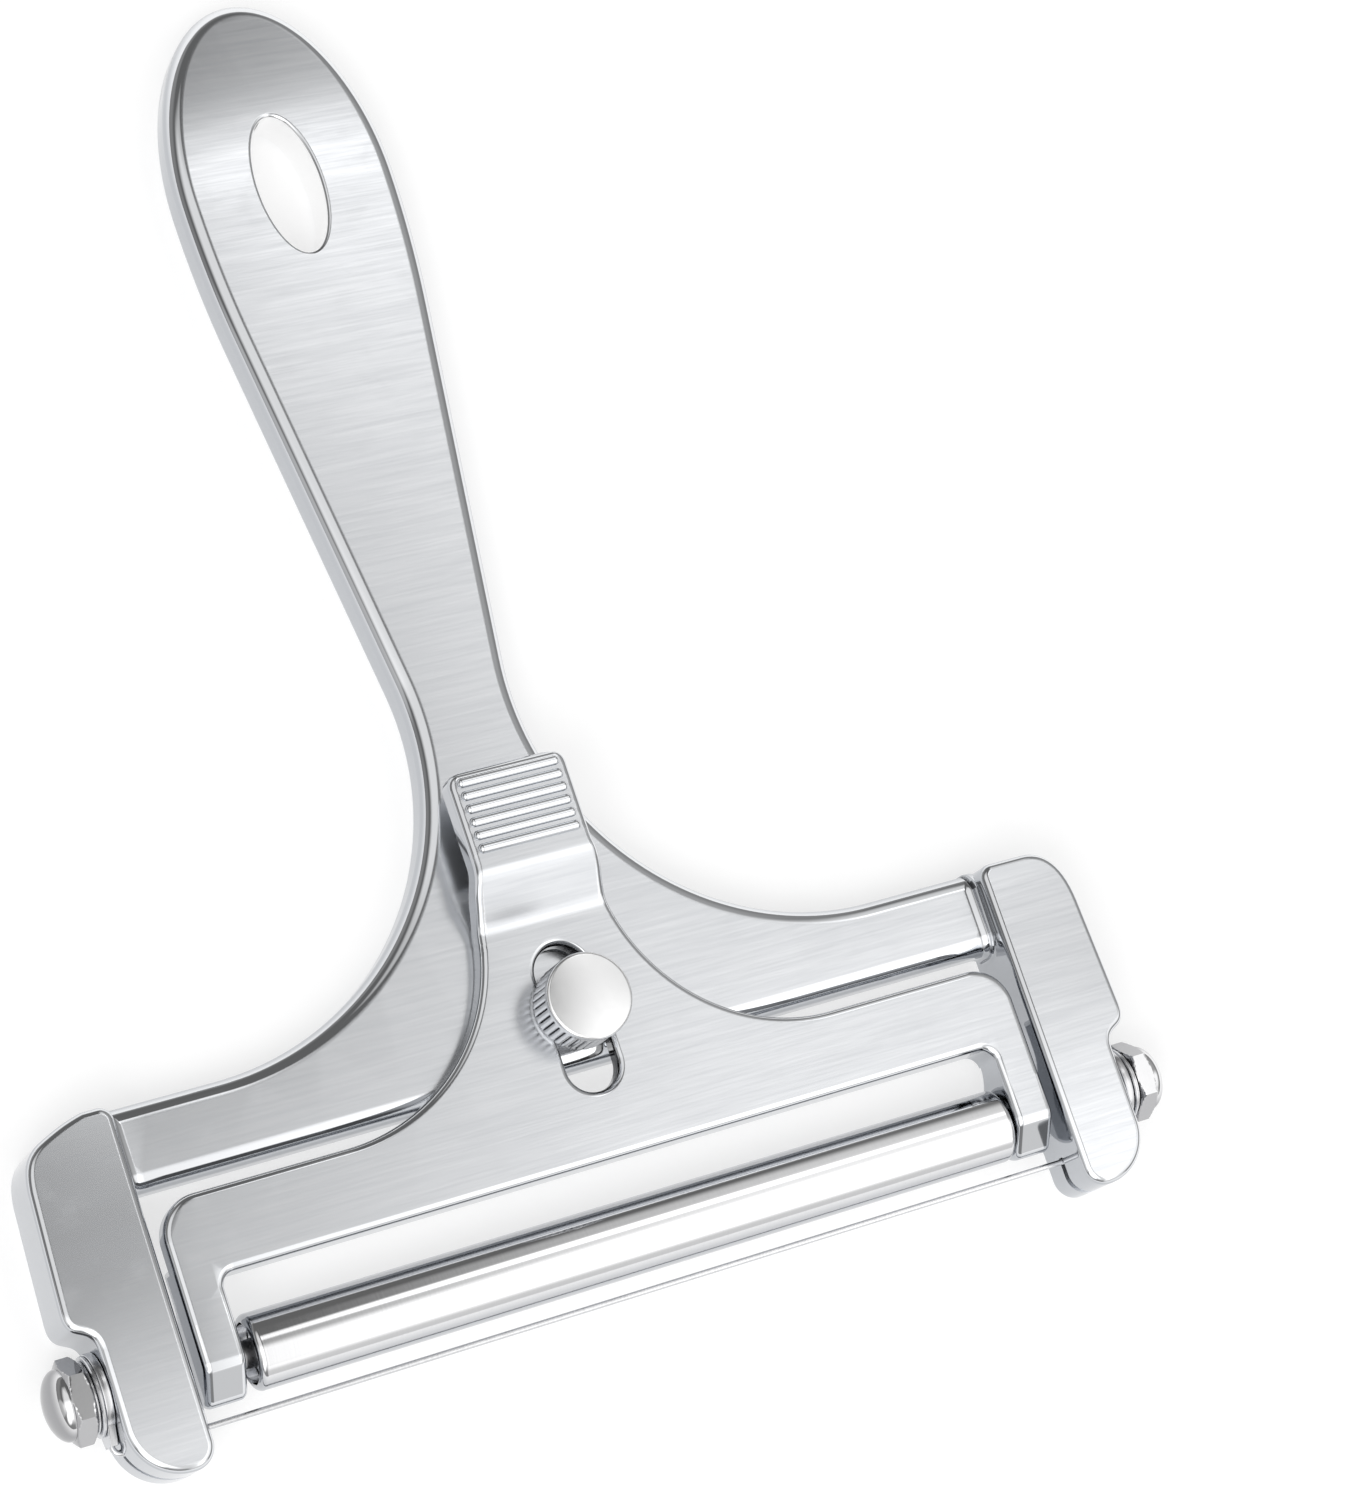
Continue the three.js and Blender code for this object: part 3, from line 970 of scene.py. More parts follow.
@dataclass
class FrameCasting:
    """The one-piece casting: handle, crossbar and the two arms that hold the wire.

    Attributes:
        length: from the tips of the arms to the end of the handle.
        arm_in: how far from the middle the arms begin.
        arm_out: how far out they reach.
        arm_depth: how thick they are.
        seat: how far out the washers sit.
        plate_depth: how thick handle and crossbar are.
        bar_low: the crossbar's lower edge.
        shoulder: its upper edge.
        neck_half: half the handle's width at its neck.
        flare: the radius from the crossbar up to the neck.
        handle_half: half the handle's widest width.
        handle_end: how long its rounded end is.
        belly: the radius of the handle's sides.
        hole: half the hanging hole's width and length.
        fillet: the radius of the plate's edges.
        arm_fillet: the radius of the arms' edges.
        foot: the radius of the hollow round at an arm.
        bury: how far the crossbar reaches into an arm.
        slit: the middle and half the height of the wire's slit, and how far up the arm it goes.
    """

    length: float = 157.1
    arm_in: float = 51.9
    arm_out: float = 63.3
    arm_depth: float = 9.0
    seat: float = 60.5
    plate_depth: float = 6.0
    bar_low: float = 29.0
    shoulder: float = 38.3
    neck_half: float = 6.5
    flare: float = 32.8
    handle_half: float = 13.1
    handle_end: float = 23.0
    belly: float = 134.0
    fillet: float = 2.0
    arm_fillet: float = 0.85
    foot: float = 1.3
    bury: float = 3.5
    hole: Pair = (3.75, 8.35)
    slit: tuple[float, float, float] = (4.2, 0.45, 4.6)

    def plate_outline(self) -> Outline:
        """The outline of handle and crossbar.

        Returns:
            The closed outline, whose ends are buried in the arms.
        """
        handle_y = self.length - self.handle_end
        neck_y = self.shoulder + self.flare
        spread = self.flare + self.belly
        across = spread - (self.handle_half - self.neck_half)
        along = handle_y - neck_y
        taper = math.atan2(along, across) - math.acos(spread / math.hypot(across, along))
        lean = math.degrees(taper)
        buried = self.arm_in + self.bury
        half = Outline().line((0.0, self.bar_low))
        half.line(*[(x, self.bar_low) for x in (10.0, 20.0, 30.0, 40.0, 50.0, buried)])
        half.line((buried, self.shoulder), (self.arm_in - 4, self.shoulder))
        half.arc((self.neck_half + self.flare, neck_y), self.flare, -90, -180 - lean, 2.0)
        half.arc((self.handle_half - self.belly, handle_y), self.belly, -lean, 0, 0.6)
        half.arc((0.0, handle_y), (self.handle_half, self.handle_end), 0, 90, 2.0)
        return half.mirrored()

    def arm_outline(self, side: int) -> Outline:
        """The outline of one arm, with the step over the nut's seat.

        Args:
            side: 1 for right and -1 for left, whose upper corner is tighter.

        Returns:
            The closed outline, drawn on the right.
        """
        tip_in, tip_out, corner = 2.5, 5.9, 1.6
        top = self.arm_out - 0.55
        one = Outline().arc((self.arm_in + tip_in, tip_in), tip_in, 180, 270, 6)
        one.arc((self.seat - tip_out, tip_out), tip_out, 270, 360, 4)
        one.line((self.seat, 10.0), (self.seat, 14.3))
        one.curve((self.seat, 17.4), (self.arm_out + 0.1, 15.6), (self.arm_out, 19.0), 16)
        one.line((self.arm_out - 0.25, 25.0), (top, 31.6))
        if side < 0:
            one.curve((top - 0.2, 33.9), (top - 0.7, 35.3), (top - 2.4, 36.3), 10)
            one.curve((top - 4.2, 37.2), (top - 5.6, 37.8), (top - 7.6, self.shoulder - 0.02), 8)
        else:
            one.curve((top - 0.2, 35.9), (top - 2.0, 38.3), (top - 5.0, self.shoulder - 0.02), 14)
        one.arc((self.arm_in + corner, self.shoulder - corner), corner, 90, 180, 6)
        return one

    def foot_fillet(self, side: int) -> Shell:
        """The small hollow round where the crossbar's face meets an arm.

        Args:
            side: 1 for right and -1 for left.

        Returns:
            The shell.
        """
        sunk, thinned = 0.6, 0.85
        wall = [(self.bar_low, 2.0, -1.0, 0.0)]
        edge = zip(rounding(8, self.fillet), arcs(8, self.fillet))
        wall += [
            (self.bar_low + inset, self.plate_depth - drop, -math.cos(a), math.sin(a))
            for (inset, drop), a in edge
        ]
        upper = self.bar_low + self.shoulder
        wall += [(upper - y, z, -ny, nz) for y, z, ny, nz in reversed(wall)]
        shell = Shell()
        rings = []
        for y, z, ny, nz in wall:
            r = self.foot * (1 - thinned * max(0.0, ny))
            middle = self.arm_in - r
            hollow = [(middle + r * math.cos(-a), r + r * math.sin(-a)) for a in arcs(6, r)]
            inside = self.arm_in + sunk
            section = [(inside, r), *hollow, (middle, -sunk), (inside, -sunk)]
            rings.append(shell.ring((side * x, y + n * ny, z + n * nz) for x, n in section))
        shell.loft(rings)
        return shell

    def build(self, shop: Workshop) -> None:
        """Builds and dresses the casting.

        Args:
            shop: where finished pieces go.
        """
        plate = Shell()
        handle_y = self.length - self.handle_end
        hole = Outline().arc((0.0, handle_y + 0.2), self.hole, 0, 360, 5)
        outline = self.plate_outline()
        plate.slab(outline, 0, self.plate_depth, self.fillet, self.fillet, [hole], 0.45)
        pieces = [plate.build("plate")]
        for side in (-1, 1):
            arm = Shell()
            outline = self.arm_outline(side).flipped(side)
            arm.slab(outline, 0, self.arm_depth, self.arm_fillet, self.arm_fillet, steps=5)
            solid = arm.build("arm")
            carved(solid, [self.slit_tool(side).build("slit")])
            pieces += [solid, self.foot_fillet(side).build("foot")]
        shop.finish(welded("frame_body", pieces), "frame", "frame_casting", CASTING)

    def slit_tool(self, side: int) -> Shell:
        """What cuts the slit that the wire passes through.

        Args:
            side: 1 for right and -1 for left.

        Returns:
            The shell.
        """
        past = 3.0
        level, half, top = self.slit
        low, high = sorted((side * (self.arm_in - past), side * (self.arm_out + past)))
        tool = Shell()
        outline = Outline().line((low, -past), (high, -past), (high, top), (low, top))
        tool.slab(outline, level - half, level + half, 0, 0)
        return tool


# ---------------------------------------------------------------- the roller carrier


@dataclass
class RollerCarrier:
    """The sliding casting: slotted plate, bent-up thumb grip, rail and forks.

    Attributes:
        back: the height of the plate's back.
        front: the height of its front.
        fillet: the radius of its edges.
        fork_in: how far from the middle a fork begins.
        fork_out: how far out it reaches.
        fork_back: the height of the rail's and the forks' back.
        corner: the radius of the plate's outer corners.
        inner_corner: the radius between the rail and a fork.
        plate_top: the upper edge of the plate's wings.
        rail: the rail's lower and upper edge.
        strap_half: half the strap's width at its neck.
        flare: the radius from the wings up to the neck.
        grip_half: half the grip's width.
        grip_end: how far up the grip reaches.
        grip_front: the height of the grip's front.
        grip_back: the height of its back.
        boss: the axle's Y and Z, and the radius of the fork's round end.
        fold: how far below the axle the fork's front folds back.
        slot: half the slot's width, and the centres of its round ends.
        ridges: how many bars cross the grip.
    """

    back: float = 6.15
    front: float = 8.75
    fillet: float = 0.8
    fork_in: float = 46.05
    fork_out: float = 50.7
    fork_back: float = 3.8
    corner: float = 4.4
    inner_corner: float = 1.5
    plate_top: float = 27.2
    rail: Pair = (18.35, 20.6)
    strap_half: float = 7.55
    flare: float = 21.4
    grip_half: float = 7.05
    grip_end: float = 62.6
    grip_front: float = 12.2
    grip_back: float = 9.2
    boss: tuple[float, float, float] = (10.1, 4.4, 4.35)
    fold: float = 0.8
    slot: tuple[float, float, float] = (3.0, 28.7, 39.2)
    ridges: int = 6

    def plate_outline(self, top: float) -> Outline:
        """The plate's outline, cut off straight in the strap's neck.

        Args:
            top: where it is cut off.

        Returns:
            The closed outline.
        """
        flare_y = self.plate_top + self.flare
        end = math.degrees(math.asin((flare_y - top) / self.flare))
        half = Outline().line((0.0, self.rail[0]))
        half.line(*[(x, self.rail[0]) for x in (12.0, 24.0, 36.0)])
        r = self.inner_corner
        half.arc((self.fork_in - r, self.rail[0] - r), r, 90, 0, 10)
        half.line((self.fork_in, 13.5), (self.fork_out, 13.5))
        half.arc((self.fork_out - self.corner, self.plate_top - self.corner), self.corner, 0, 90, 5)
        half.arc((self.strap_half + self.flare, flare_y), self.flare, -90, -180 + end, 2.5)
        half.line((0.0, top))
        return half.mirrored()

    def strap_stations(self) -> list[tuple[float, float, float, float]]:
        """Stations up the strap.

        Returns:
            The place up the strap, half its width, and the heights of its back and front there.
        """
        flare_y = self.plate_top + self.flare
        stations = []
        for index in range(61):
            y = 43.2 + (self.grip_end - 43.2) * index / 60
            if y < flare_y:
                half = self.strap_half + self.flare - math.sqrt(self.flare**2 - (flare_y - y) ** 2)
            else:
                ease = min(1.0, (y - flare_y) / 4.0)
                grown = ease * ease * (3 - 2 * ease)
                half = self.strap_half + (self.grip_half - self.strap_half) * grown
            high, low = (eased((y - start) / 6.6, 0.22) for start in (45.0, 45.7))
            back = self.back + (self.grip_back - self.back) * low
            stations.append((y, half, back, self.front + (self.grip_front - self.front) * high))
        return stations

    def strap(self) -> Shell:
        """The strap and grip, as rounded sections set one after another.

        Returns:
            The shell.
        """
        shell = Shell()
        rings = []
        for y, half, back, front in self.strap_stations():
            end = self.grip_end - y
            pull = 0.0 if end > 1.7 else 1.7 - math.sqrt(max(0.0, 1.7**2 - (1.7 - end) ** 2))
            tuck = 0.0 if end > 0.8 else 0.8 - math.sqrt(max(0.0, 0.8**2 - (0.8 - end) ** 2))
            half, back, front = half - pull, back + tuck, front - tuck
            r = min(self.fillet, (front - back) / 2 - 0.02)
            ring = []
            for cx, cz, turn in (
                (half - r, front - r, 0),
                (r - half, front - r, 90),
                (r - half, back + r * 0.6, 180),
                (half - r, back + r * 0.6, 270),
            ):
                rise = r * 0.6 if turn >= 180 else r
                for k in range(7):
                    a = math.radians(turn + 15 * k)
                    ring.append((cx + r * math.cos(a), y, cz + rise * math.sin(a)))
            rings.append(shell.ring(ring))
        shell.loft(rings)
        return shell

    def ridge(self, y: float) -> Shell:
        """One rounded bar across the grip, with round ends.

        Args:
            y: its place up the grip.

        Returns:
            The shell.
        """
        shell = Shell()
        reach, radius, rise = 6.15, 0.58, 0.56
        profile = [
            (radius * math.sin(a), -reach - radius * 0.9 * math.cos(a) + radius)
            for a in arcs(5, 1)[1:]
        ]
        profile += [(r, -x) for r, x in reversed(profile)]
        foot = self.grip_front - 0.06

        def place(point: Point) -> Point:
            """Lays the bar across the grip, a little flatter than round."""
            return (point[2], y + point[0], foot + point[1] * rise / radius)

        shell.turned(profile, place, 24, False)
        return shell

    def rail_shell(self) -> Shell:
        """The deep rail behind the plate's lower edge.

        Returns:
            The shell.
        """
        shell = Shell()
        low, high = self.rail
        r = self.inner_corner
        outline = Outline().line((-self.fork_out + 1, high), (-self.fork_out + 1, low - r))
        outline.arc((-self.fork_in + r, low - r), r, 180, 90, 10)
        outline.arc((self.fork_in - r, low - r), r, 90, 0, 10)
        outline.line((self.fork_out - 1, low - r), (self.fork_out - 1, high))
        shell.slab(outline, self.fork_back + 0.02, self.back + 1.2, 0.0, 0.3, steps=4)
        return shell

    def fork(self, side: int) -> Shell:
        """One fork, seen from the side, from the rail to its round end.

        Args:
            side: 1 for right and -1 for left.

        Returns:
            The shell.
        """
        y, z, r = self.boss
        high = self.rail[1]
        fold, soft = y - self.fold, 0.7
        foot = fold - (self.front - z - 0.85)
        outline = Outline().line((high, self.front), (16.0, self.front), (fold + soft, self.front))
        down = self.front - soft * 0.3
        end = (fold - soft * 0.7, self.front - soft * 0.7)
        outline.curve((fold + soft * 0.4, self.front), (fold - soft * 0.3, down), end, 6)
        outline.line((foot + 0.5, z + 1.35))
        outline.curve((foot + 0.1, z + 0.95), (y - r, z + 0.5), (y - r, z), 6)
        outline.arc((y, z), r, 180, 312, 6)
        blend, back = outline.points[-1], self.fork_back
        outline.curve((blend[0] + 1.1, blend[1] + 1.0), (15.2, back), (17.0, back), 8)
        outline.line((high, self.fork_back))
        shell = Shell()
        ends = sorted((side * self.fork_in, side * self.fork_out))
        shell.slab(outline, ends[0], ends[1], self.fillet, self.fillet, steps=6, place=crosswise)
        return shell

    def build(self, shop: Workshop) -> None:
        """Builds and dresses the carrier.

        Args:
            shop: where finished pieces go.
        """
        half, low, high = self.slot
        slot = Outline().arc((0.0, high), half, 0, 180, 6).arc((0.0, low), half, 180, 360, 6)
        plate = Shell()
        plate.slab(self.plate_outline(44.6), self.back, self.front, self.fillet, 0.25, [slot], 0.7)
        pieces = [plate.build("plate"), self.strap().build("strap")]
        pieces += [self.rail_shell().build("rail")]
        pieces += [self.fork(side).build("fork") for side in (-1, 1)]
        pieces += [
            self.ridge(self.grip_end - 1.35 - 1.5 * index).build("ridge", 60)
            for index in range(self.ridges)
        ]
        shop.finish(welded("carrier_body", pieces), "carrier", "roller_carrier", SLIDER)


# ---------------------------------------------------------------- roller, clamp and terminals


@dataclass
class Roller:
    """The tube on two bushes that turns on a fixed axle.

    Attributes:
        y: the axle's place along Y.
        z: its height.
        radius: the tube's radius.
        bore: the radius of its bore.
        low: its left end.
        high: its right end.
        axle: the axle's radius.
        axle_half: half the axle's length.
        bush: how deep in the tube a bush begins, and how long it is.
    """

    y: float = 10.1
    z: float = 4.4
    radius: float = 4.12
    bore: float = 3.3
    low: float = -44.8
    high: float = 45.8
    axle: float = 1.5
    axle_half: float = 50.6
    bush: Pair = (1.4, 6.0)

    def build(self, shop: Workshop) -> None:
        """Builds and dresses tube, bushes and axle.

        Args:
            shop: where finished pieces go.
        """
        place = about_x(self.y, self.z)
        lip, break_edge = 0.75, 0.12
        low, high, bore = self.low, self.high, self.bore
        round_high = [(self.radius - inset, high - drop) for inset, drop in rounding(8, lip)]
        round_low = [(r, low + high - x) for r, x in round_high[::-1]]
        inner = [(bore + break_edge, high), (bore, high - break_edge)]
        inner += [(bore, low + break_edge), (bore + break_edge, low)]
        tube = Shell()
        tube.turned(round_low + round_high + inner, place, 128)
        shop.finish(tube.build("roller"), "roller", "roller_tube", ROLLER_FACE)
        deep, length = self.bush
        outer, inside, edge = bore - 0.03, self.axle + 0.05, 0.25
        for name, mouth, side in (("left", low + deep, -1), ("right", high - deep, 1)):
            far = mouth - side * length
            profile = [(inside + edge, mouth), (outer - edge, mouth), (outer, mouth - side * edge)]
            profile += [(outer, far), (inside, far), (inside, mouth - side * edge)]
            bush = Shell()
            bush.turned(profile, place, 64)
            shop.finish(bush.build(f"bush_{name}"), "roller", f"roller_bush_{name}", TURNED)
        axle = Shell()
        half, edge = self.axle_half, 0.3
        profile = [(self.axle - edge, -half), (self.axle, -half + edge)]
        profile += [(self.axle, half - edge), (self.axle - edge, half)]
        axle.turned(profile, place, 48, False)
        shop.finish(axle.build("axle"), "carrier", "roller_axle", TURNED)


@dataclass
class Clamp:
    """The stud in the crossbar, its guide block and washer, and the knurled knob.

    Attributes:
        y: the stud's place along Y.
        stud: its radius.
        bore: the radius of the holes over it.
        block: half the guide block's width, and its lower and upper end.
        block_z: the heights of its back and front.
        washer: the washer's radius, and the heights of its underside and top.
        knob: the knob's radius.
        knob_z: the heights of its underside and top.
        teeth: how many teeth its rim has.
    """

    y: float = 35.1
    stud: float = 2.42
    bore: float = 2.5
    block: tuple[float, float, float] = (2.95, 31.6, 38.6)
    block_z: Pair = (6.05, 8.45)
    washer: tuple[float, float, float] = (4.6, 8.8, 9.1)
    knob: float = 4.85
    knob_z: Pair = (9.15, 14.25)
    teeth: int = 36

    def knurl(self, radius: float, height: float, angle: float) -> float:
        """Gives the knob its straight teeth.

        Args:
            radius: the profile's radius.
            height: the height.
            angle: the angle round the knob.

        Returns:
            The radius there.
        """
        low, high = self.knob_z
        rise, fall = (height - low - 0.15) / 0.5, (high - 0.75 - height) / 0.3
        fade = min(1.0, max(0.0, rise), max(0.0, fall))
        if radius < self.knob - 0.01:
            return radius
        wave = abs(math.sin(angle * self.teeth / 2))
        return radius - 0.42 * fade * (1 - wave**0.45)

    def build(self, shop: Workshop) -> None:
        """Builds and dresses stud, block, washer and knob.

        Args:
            shop: where finished pieces go.
        """
        place = about_z(self.y)
        low, high = self.knob_z
        top = high - 1.2
        stud = Shell()
        stud.turned(thread_profile(self.stud, 1.0, top, 0.1), place, 48, False)
        shop.finish(stud.build("stud", 80), "frame", "clamp_stud", TURNED)
        half, block_low, block_high = self.block
        outline = Outline().arc((0.0, block_high - half), half, 0, 180, 6)
        outline.arc((0.0, block_low + half), half, 180, 360, 6)
        hole = Outline().arc((0.0, self.y), self.bore, 0, 360, 8)
        block = Shell()
        block.slab(outline, *self.block_z, 0.35, 0.1, [hole], 0.1, 5)
        shop.finish(block.build("block"), "frame", "guide_block", POLISHED)
        radius, base, over = self.washer
        washer = Shell()
        washer.turned(washer_profile(self.bore, radius, base, over, 0.08), place, 96)
        shop.finish(washer.build("washer"), "knob_washer", "clamp_washer", TURNED)
        rim = self.knob
        outside = [(rim - 0.55, low), (rim - 0.15, low + 0.1)]
        outside += [(rim, low + 0.25 + (high - low - 1.0) * k / 10) for k in range(11)]
        outside += [(rim, high - 0.62), (rim, high - 0.42)]
        outside += [(rim - inset, high - drop) for inset, drop in rounding(6, 0.4)]
        inside = [(0.02, top + 0.2), (self.bore, top + 0.2), (self.bore, low + 0.1)]
        inside.append((self.bore + 0.1, low))
        knob = Shell()
        knob.turned([*inside, *outside, (0.02, high)], place, self.teeth * 10, False, self.knurl)
        shop.finish(knob.build("knob", 50), "knob", "thumb_knob", KNURLED)


@dataclass
class Terminals:
    """The cutting wire and what clamps its ends outside the arms.

    Attributes:
        y: the studs' place along Y.
        z: their height.
        seat: how far out the lugs sit.
        wire: the wire's Y, its height and its radius.
        bend: the radius of its bends.
        lug: a lug's radius, how thick it is and how far its ear reaches.
        washer: the plain washer's radius, and how thick it is.
        lock: the same of the lock washer.
        across_flats: the cap nut's width across its flats.
        hex_height: how high its hexagon is.
        dome: the radius and height of its dome.
        stud: the studs' radius.
        bore: the radius of the holes over them.
        gap: the clearance between the pieces on a stud.
    """

    y: float = 10.5
    z: float = 4.4
    seat: float = 60.5
    wire: tuple[float, float, float] = (4.15, 4.2, 0.33)
    bend: float = 0.9
    lug: tuple[float, float, float] = (4.1, 0.9, 0.3)
    washer: Pair = (4.3, 0.4)
    lock: Pair = (3.9, 0.35)
    across_flats: float = 8.0
    hex_height: float = 2.2
    dome: Pair = (3.8, 2.1)
    stud: float = 2.42
    bore: float = 2.5
    gap: float = 0.05

    def wire_route(self) -> list[Pair]:
        """The wire's middle line in X and Y.

        Returns:
            Its points, from the left lug to the right.
        """
        y = self.wire[0]
        x = self.seat + self.gap + self.lug[1] / 2 + self.gap
        right = [(k * 5.0, y) for k in range(1, 12)] + [(x - self.bend - 1.0, y)]
        right += [(x - drop, y + inset) for inset, drop in rounding(8, self.bend)]
        right.append((x, y + 2.1))
        return [(-px, py) for px, py in reversed(right)] + [(0.0, y)] + right

    def cutting_wire(self, shop: Workshop) -> None:
        """Builds and dresses the wire.

        Args:
            shop: where finished pieces go.
        """
        route = self.wire_route()
        _, z, radius = self.wire
        shell = Shell()
        rings = []
        for index, (x, y) in enumerate(route):
            before, after = route[max(0, index - 1)], route[min(len(route) - 1, index + 1)]
            along = (Vector(after) - Vector(before)).normalized()
            side = Vector((-along.y, along.x))
            ring = []
            for k in range(20):
                a = 2 * math.pi * k / 20
                reach = radius * math.cos(a)
                ring.append((x + side.x * reach, y + side.y * reach, z + radius * math.sin(a)))
            rings.append(shell.ring(ring))
        shell.loft(rings)
        shop.finish(shell.build("wire"), "frame", "cutting_wire", WIRE_STEEL)

    def nut_shape(self, low: float) -> Callable[[float, float, float], float]:
        """Gives the hexagon with its corners chamfered at both ends.

        Args:
            low: the height of the nut's seat.

        Returns:
            The radius, from radius, height and angle.
        """
        apothem, slope = self.across_flats / 2, 1.9

        def radius(limit: float, height: float, angle: float) -> float:
            """The least of the profile's radius, the hexagon's and the cones' that trim it.

            Args:
                limit: the profile's radius.
                height: the height.
                angle: the angle round the nut.

            Returns:
                The radius there.
            """
            if limit < apothem or height > low + self.hex_height + 1e-6:
                return limit
            turn = (angle + math.pi / 6) % (math.pi / 3) - math.pi / 6
            flat = apothem / math.cos(abs(turn))
            cone_low = apothem - 0.05 + (height - low) * slope
            cone_high = apothem - 0.1 + (low + self.hex_height - height) * slope
            return min(limit, flat, cone_low, cone_high)

        return radius

    def cap_nut(self, low: float, side: int) -> Shell:
        """The hexagon and dome of a cap nut.

        Args:
            low: the height of its seat.
            side: 1 for right and -1 for left.

        Returns:
            The shell.
        """
        top = low + self.hex_height
        wide = self.across_flats + 1.9
        blind = top + 1.2
        profile = [(0.03, blind + 0.5), (self.bore, blind), (self.bore, low + 0.15)]
        profile += [(self.bore + 0.15, low), (wide, low)]
        profile += [(wide, low + d) for d in (0.1, 0.2, 0.3, 0.4, 0.55)]
        profile += [(wide, top - d) for d in (0.55, 0.4, 0.3, 0.2, 0.1)]
        profile.append((wide, top))
        radius, height = self.dome
        profile += [(radius, top + 0.02), (radius, top + 0.1)]
        for k in range(1, 12):
            a = QUARTER * k / 12
            profile.append((radius * math.cos(a), top + 0.1 + (height - 0.1) * math.sin(a)))
        profile.append((0.03, top + height))
        shell = Shell()
        turned = about_x(self.y, self.z, side)

        def place(point: Point) -> Point:
            """Turns the nut so that a flat faces forward."""
            return turned((-point[1], point[0], point[2]))

        shell.turned(profile, place, 144, False, self.nut_shape(low))
        return shell

    def build(self, shop: Workshop) -> None:
        """Builds and dresses the wire and both ends' pieces.

        Args:
            shop: where finished pieces go.
        """
        self.cutting_wire(shop)
        for name, side in (("left", -1), ("right", 1)):
            place = about_x(self.y, self.z, side)
            lug_low = self.seat + self.gap
            self.lug_piece(shop, name, side, lug_low)
            washer_low = lug_low + self.lug[1] + self.gap
            lock_low = washer_low + self.washer[1] + self.gap
            nut_low = lock_low + self.lock[1] + self.gap
            for title, body, (radius, thick), base in (
                ("terminal_washer", "frame", self.washer, washer_low),
                ("lock_washer", f"nut_washer_{name}", self.lock, lock_low),
            ):
                profile = washer_profile(self.bore + 0.1, radius, base, base + thick, 0.1)
                ring = Shell()
                ring.turned(profile, place, 96)
                shop.finish(ring.build(f"{title}_ring_{name}"), body, f"{title}_{name}", TURNED)
            base, top = self.seat - 5.2, nut_low + self.hex_height + 0.5
            stud = Shell()
            stud.turned(thread_profile(self.stud, base, top, 0.2), place, 48, False)
            shop.finish(stud.build(f"stud_{name}", 80), "frame", f"terminal_stud_{name}", TURNED)
            nut = self.cap_nut(nut_low, side)
            shop.finish(nut.build(f"nut_{name}", 25), f"nut_{name}", f"cap_nut_{name}", NUT_FACE)

    def lug_piece(self, shop: Workshop, name: str, side: int, low: float) -> None:
        """Builds and dresses the lug that grips one end of the wire.

        Args:
            shop: where finished pieces go.
            name: left or right.
            side: 1 for right and -1 for left.
            low: its distance from the middle.
        """
        radius, thick, ear = self.lug
        tip = self.wire[0] + self.bend
        outline = Outline().arc((self.y + ear, self.z), radius, -90, 90, 6)
        outline.arc((self.y, self.z), radius, 90, 150, 6).line((tip, self.wire[1] + 1.2))
        outline.line((tip, self.wire[1] - 1.2)).arc((self.y, self.z), radius, 210, 270, 6)
        hole = Outline().arc((self.y, self.z), self.bore + 0.1, 0, 360, 8)
        ends = sorted((side * low, side * (low + thick)))
        shell = Shell()
        shell.slab(outline, ends[0], ends[1], 0.15, 0.15, [hole], 0.05, 4, crosswise)
        shop.finish(shell.build(f"lug_{name}"), "frame", f"wire_lug_{name}", TURNED)


# ---------------------------------------------------------------- studio


@dataclass(frozen=True)
class Panel:
    """A soft round patch of the room, brighter or darker than what is round it.

    Attributes:
        direction: where it is seen from the object.
        edge: the cosine of the angle from its middle to its border.
        core: the cosine of the angle to where it is full.
        amount: what it adds to the room's level.
    """

    direction: Point
    edge: float
    core: float
    amount: float


PANELS = (
    Panel((-0.9, -0.1, 0.2), 0.93, 0.97, 0.3),
    Panel((-0.55, -0.7, 0.45), 0.93, 0.98, 1.0),
    Panel((0.45, -0.87, 0.2), 0.92, 0.97, 0.45),
    Panel((0.15, 0.78, 0.6), 0.84, 0.97, -0.3),
    Panel((0.35, 0.42, 0.83), 0.986, 0.999, 0.95),
)


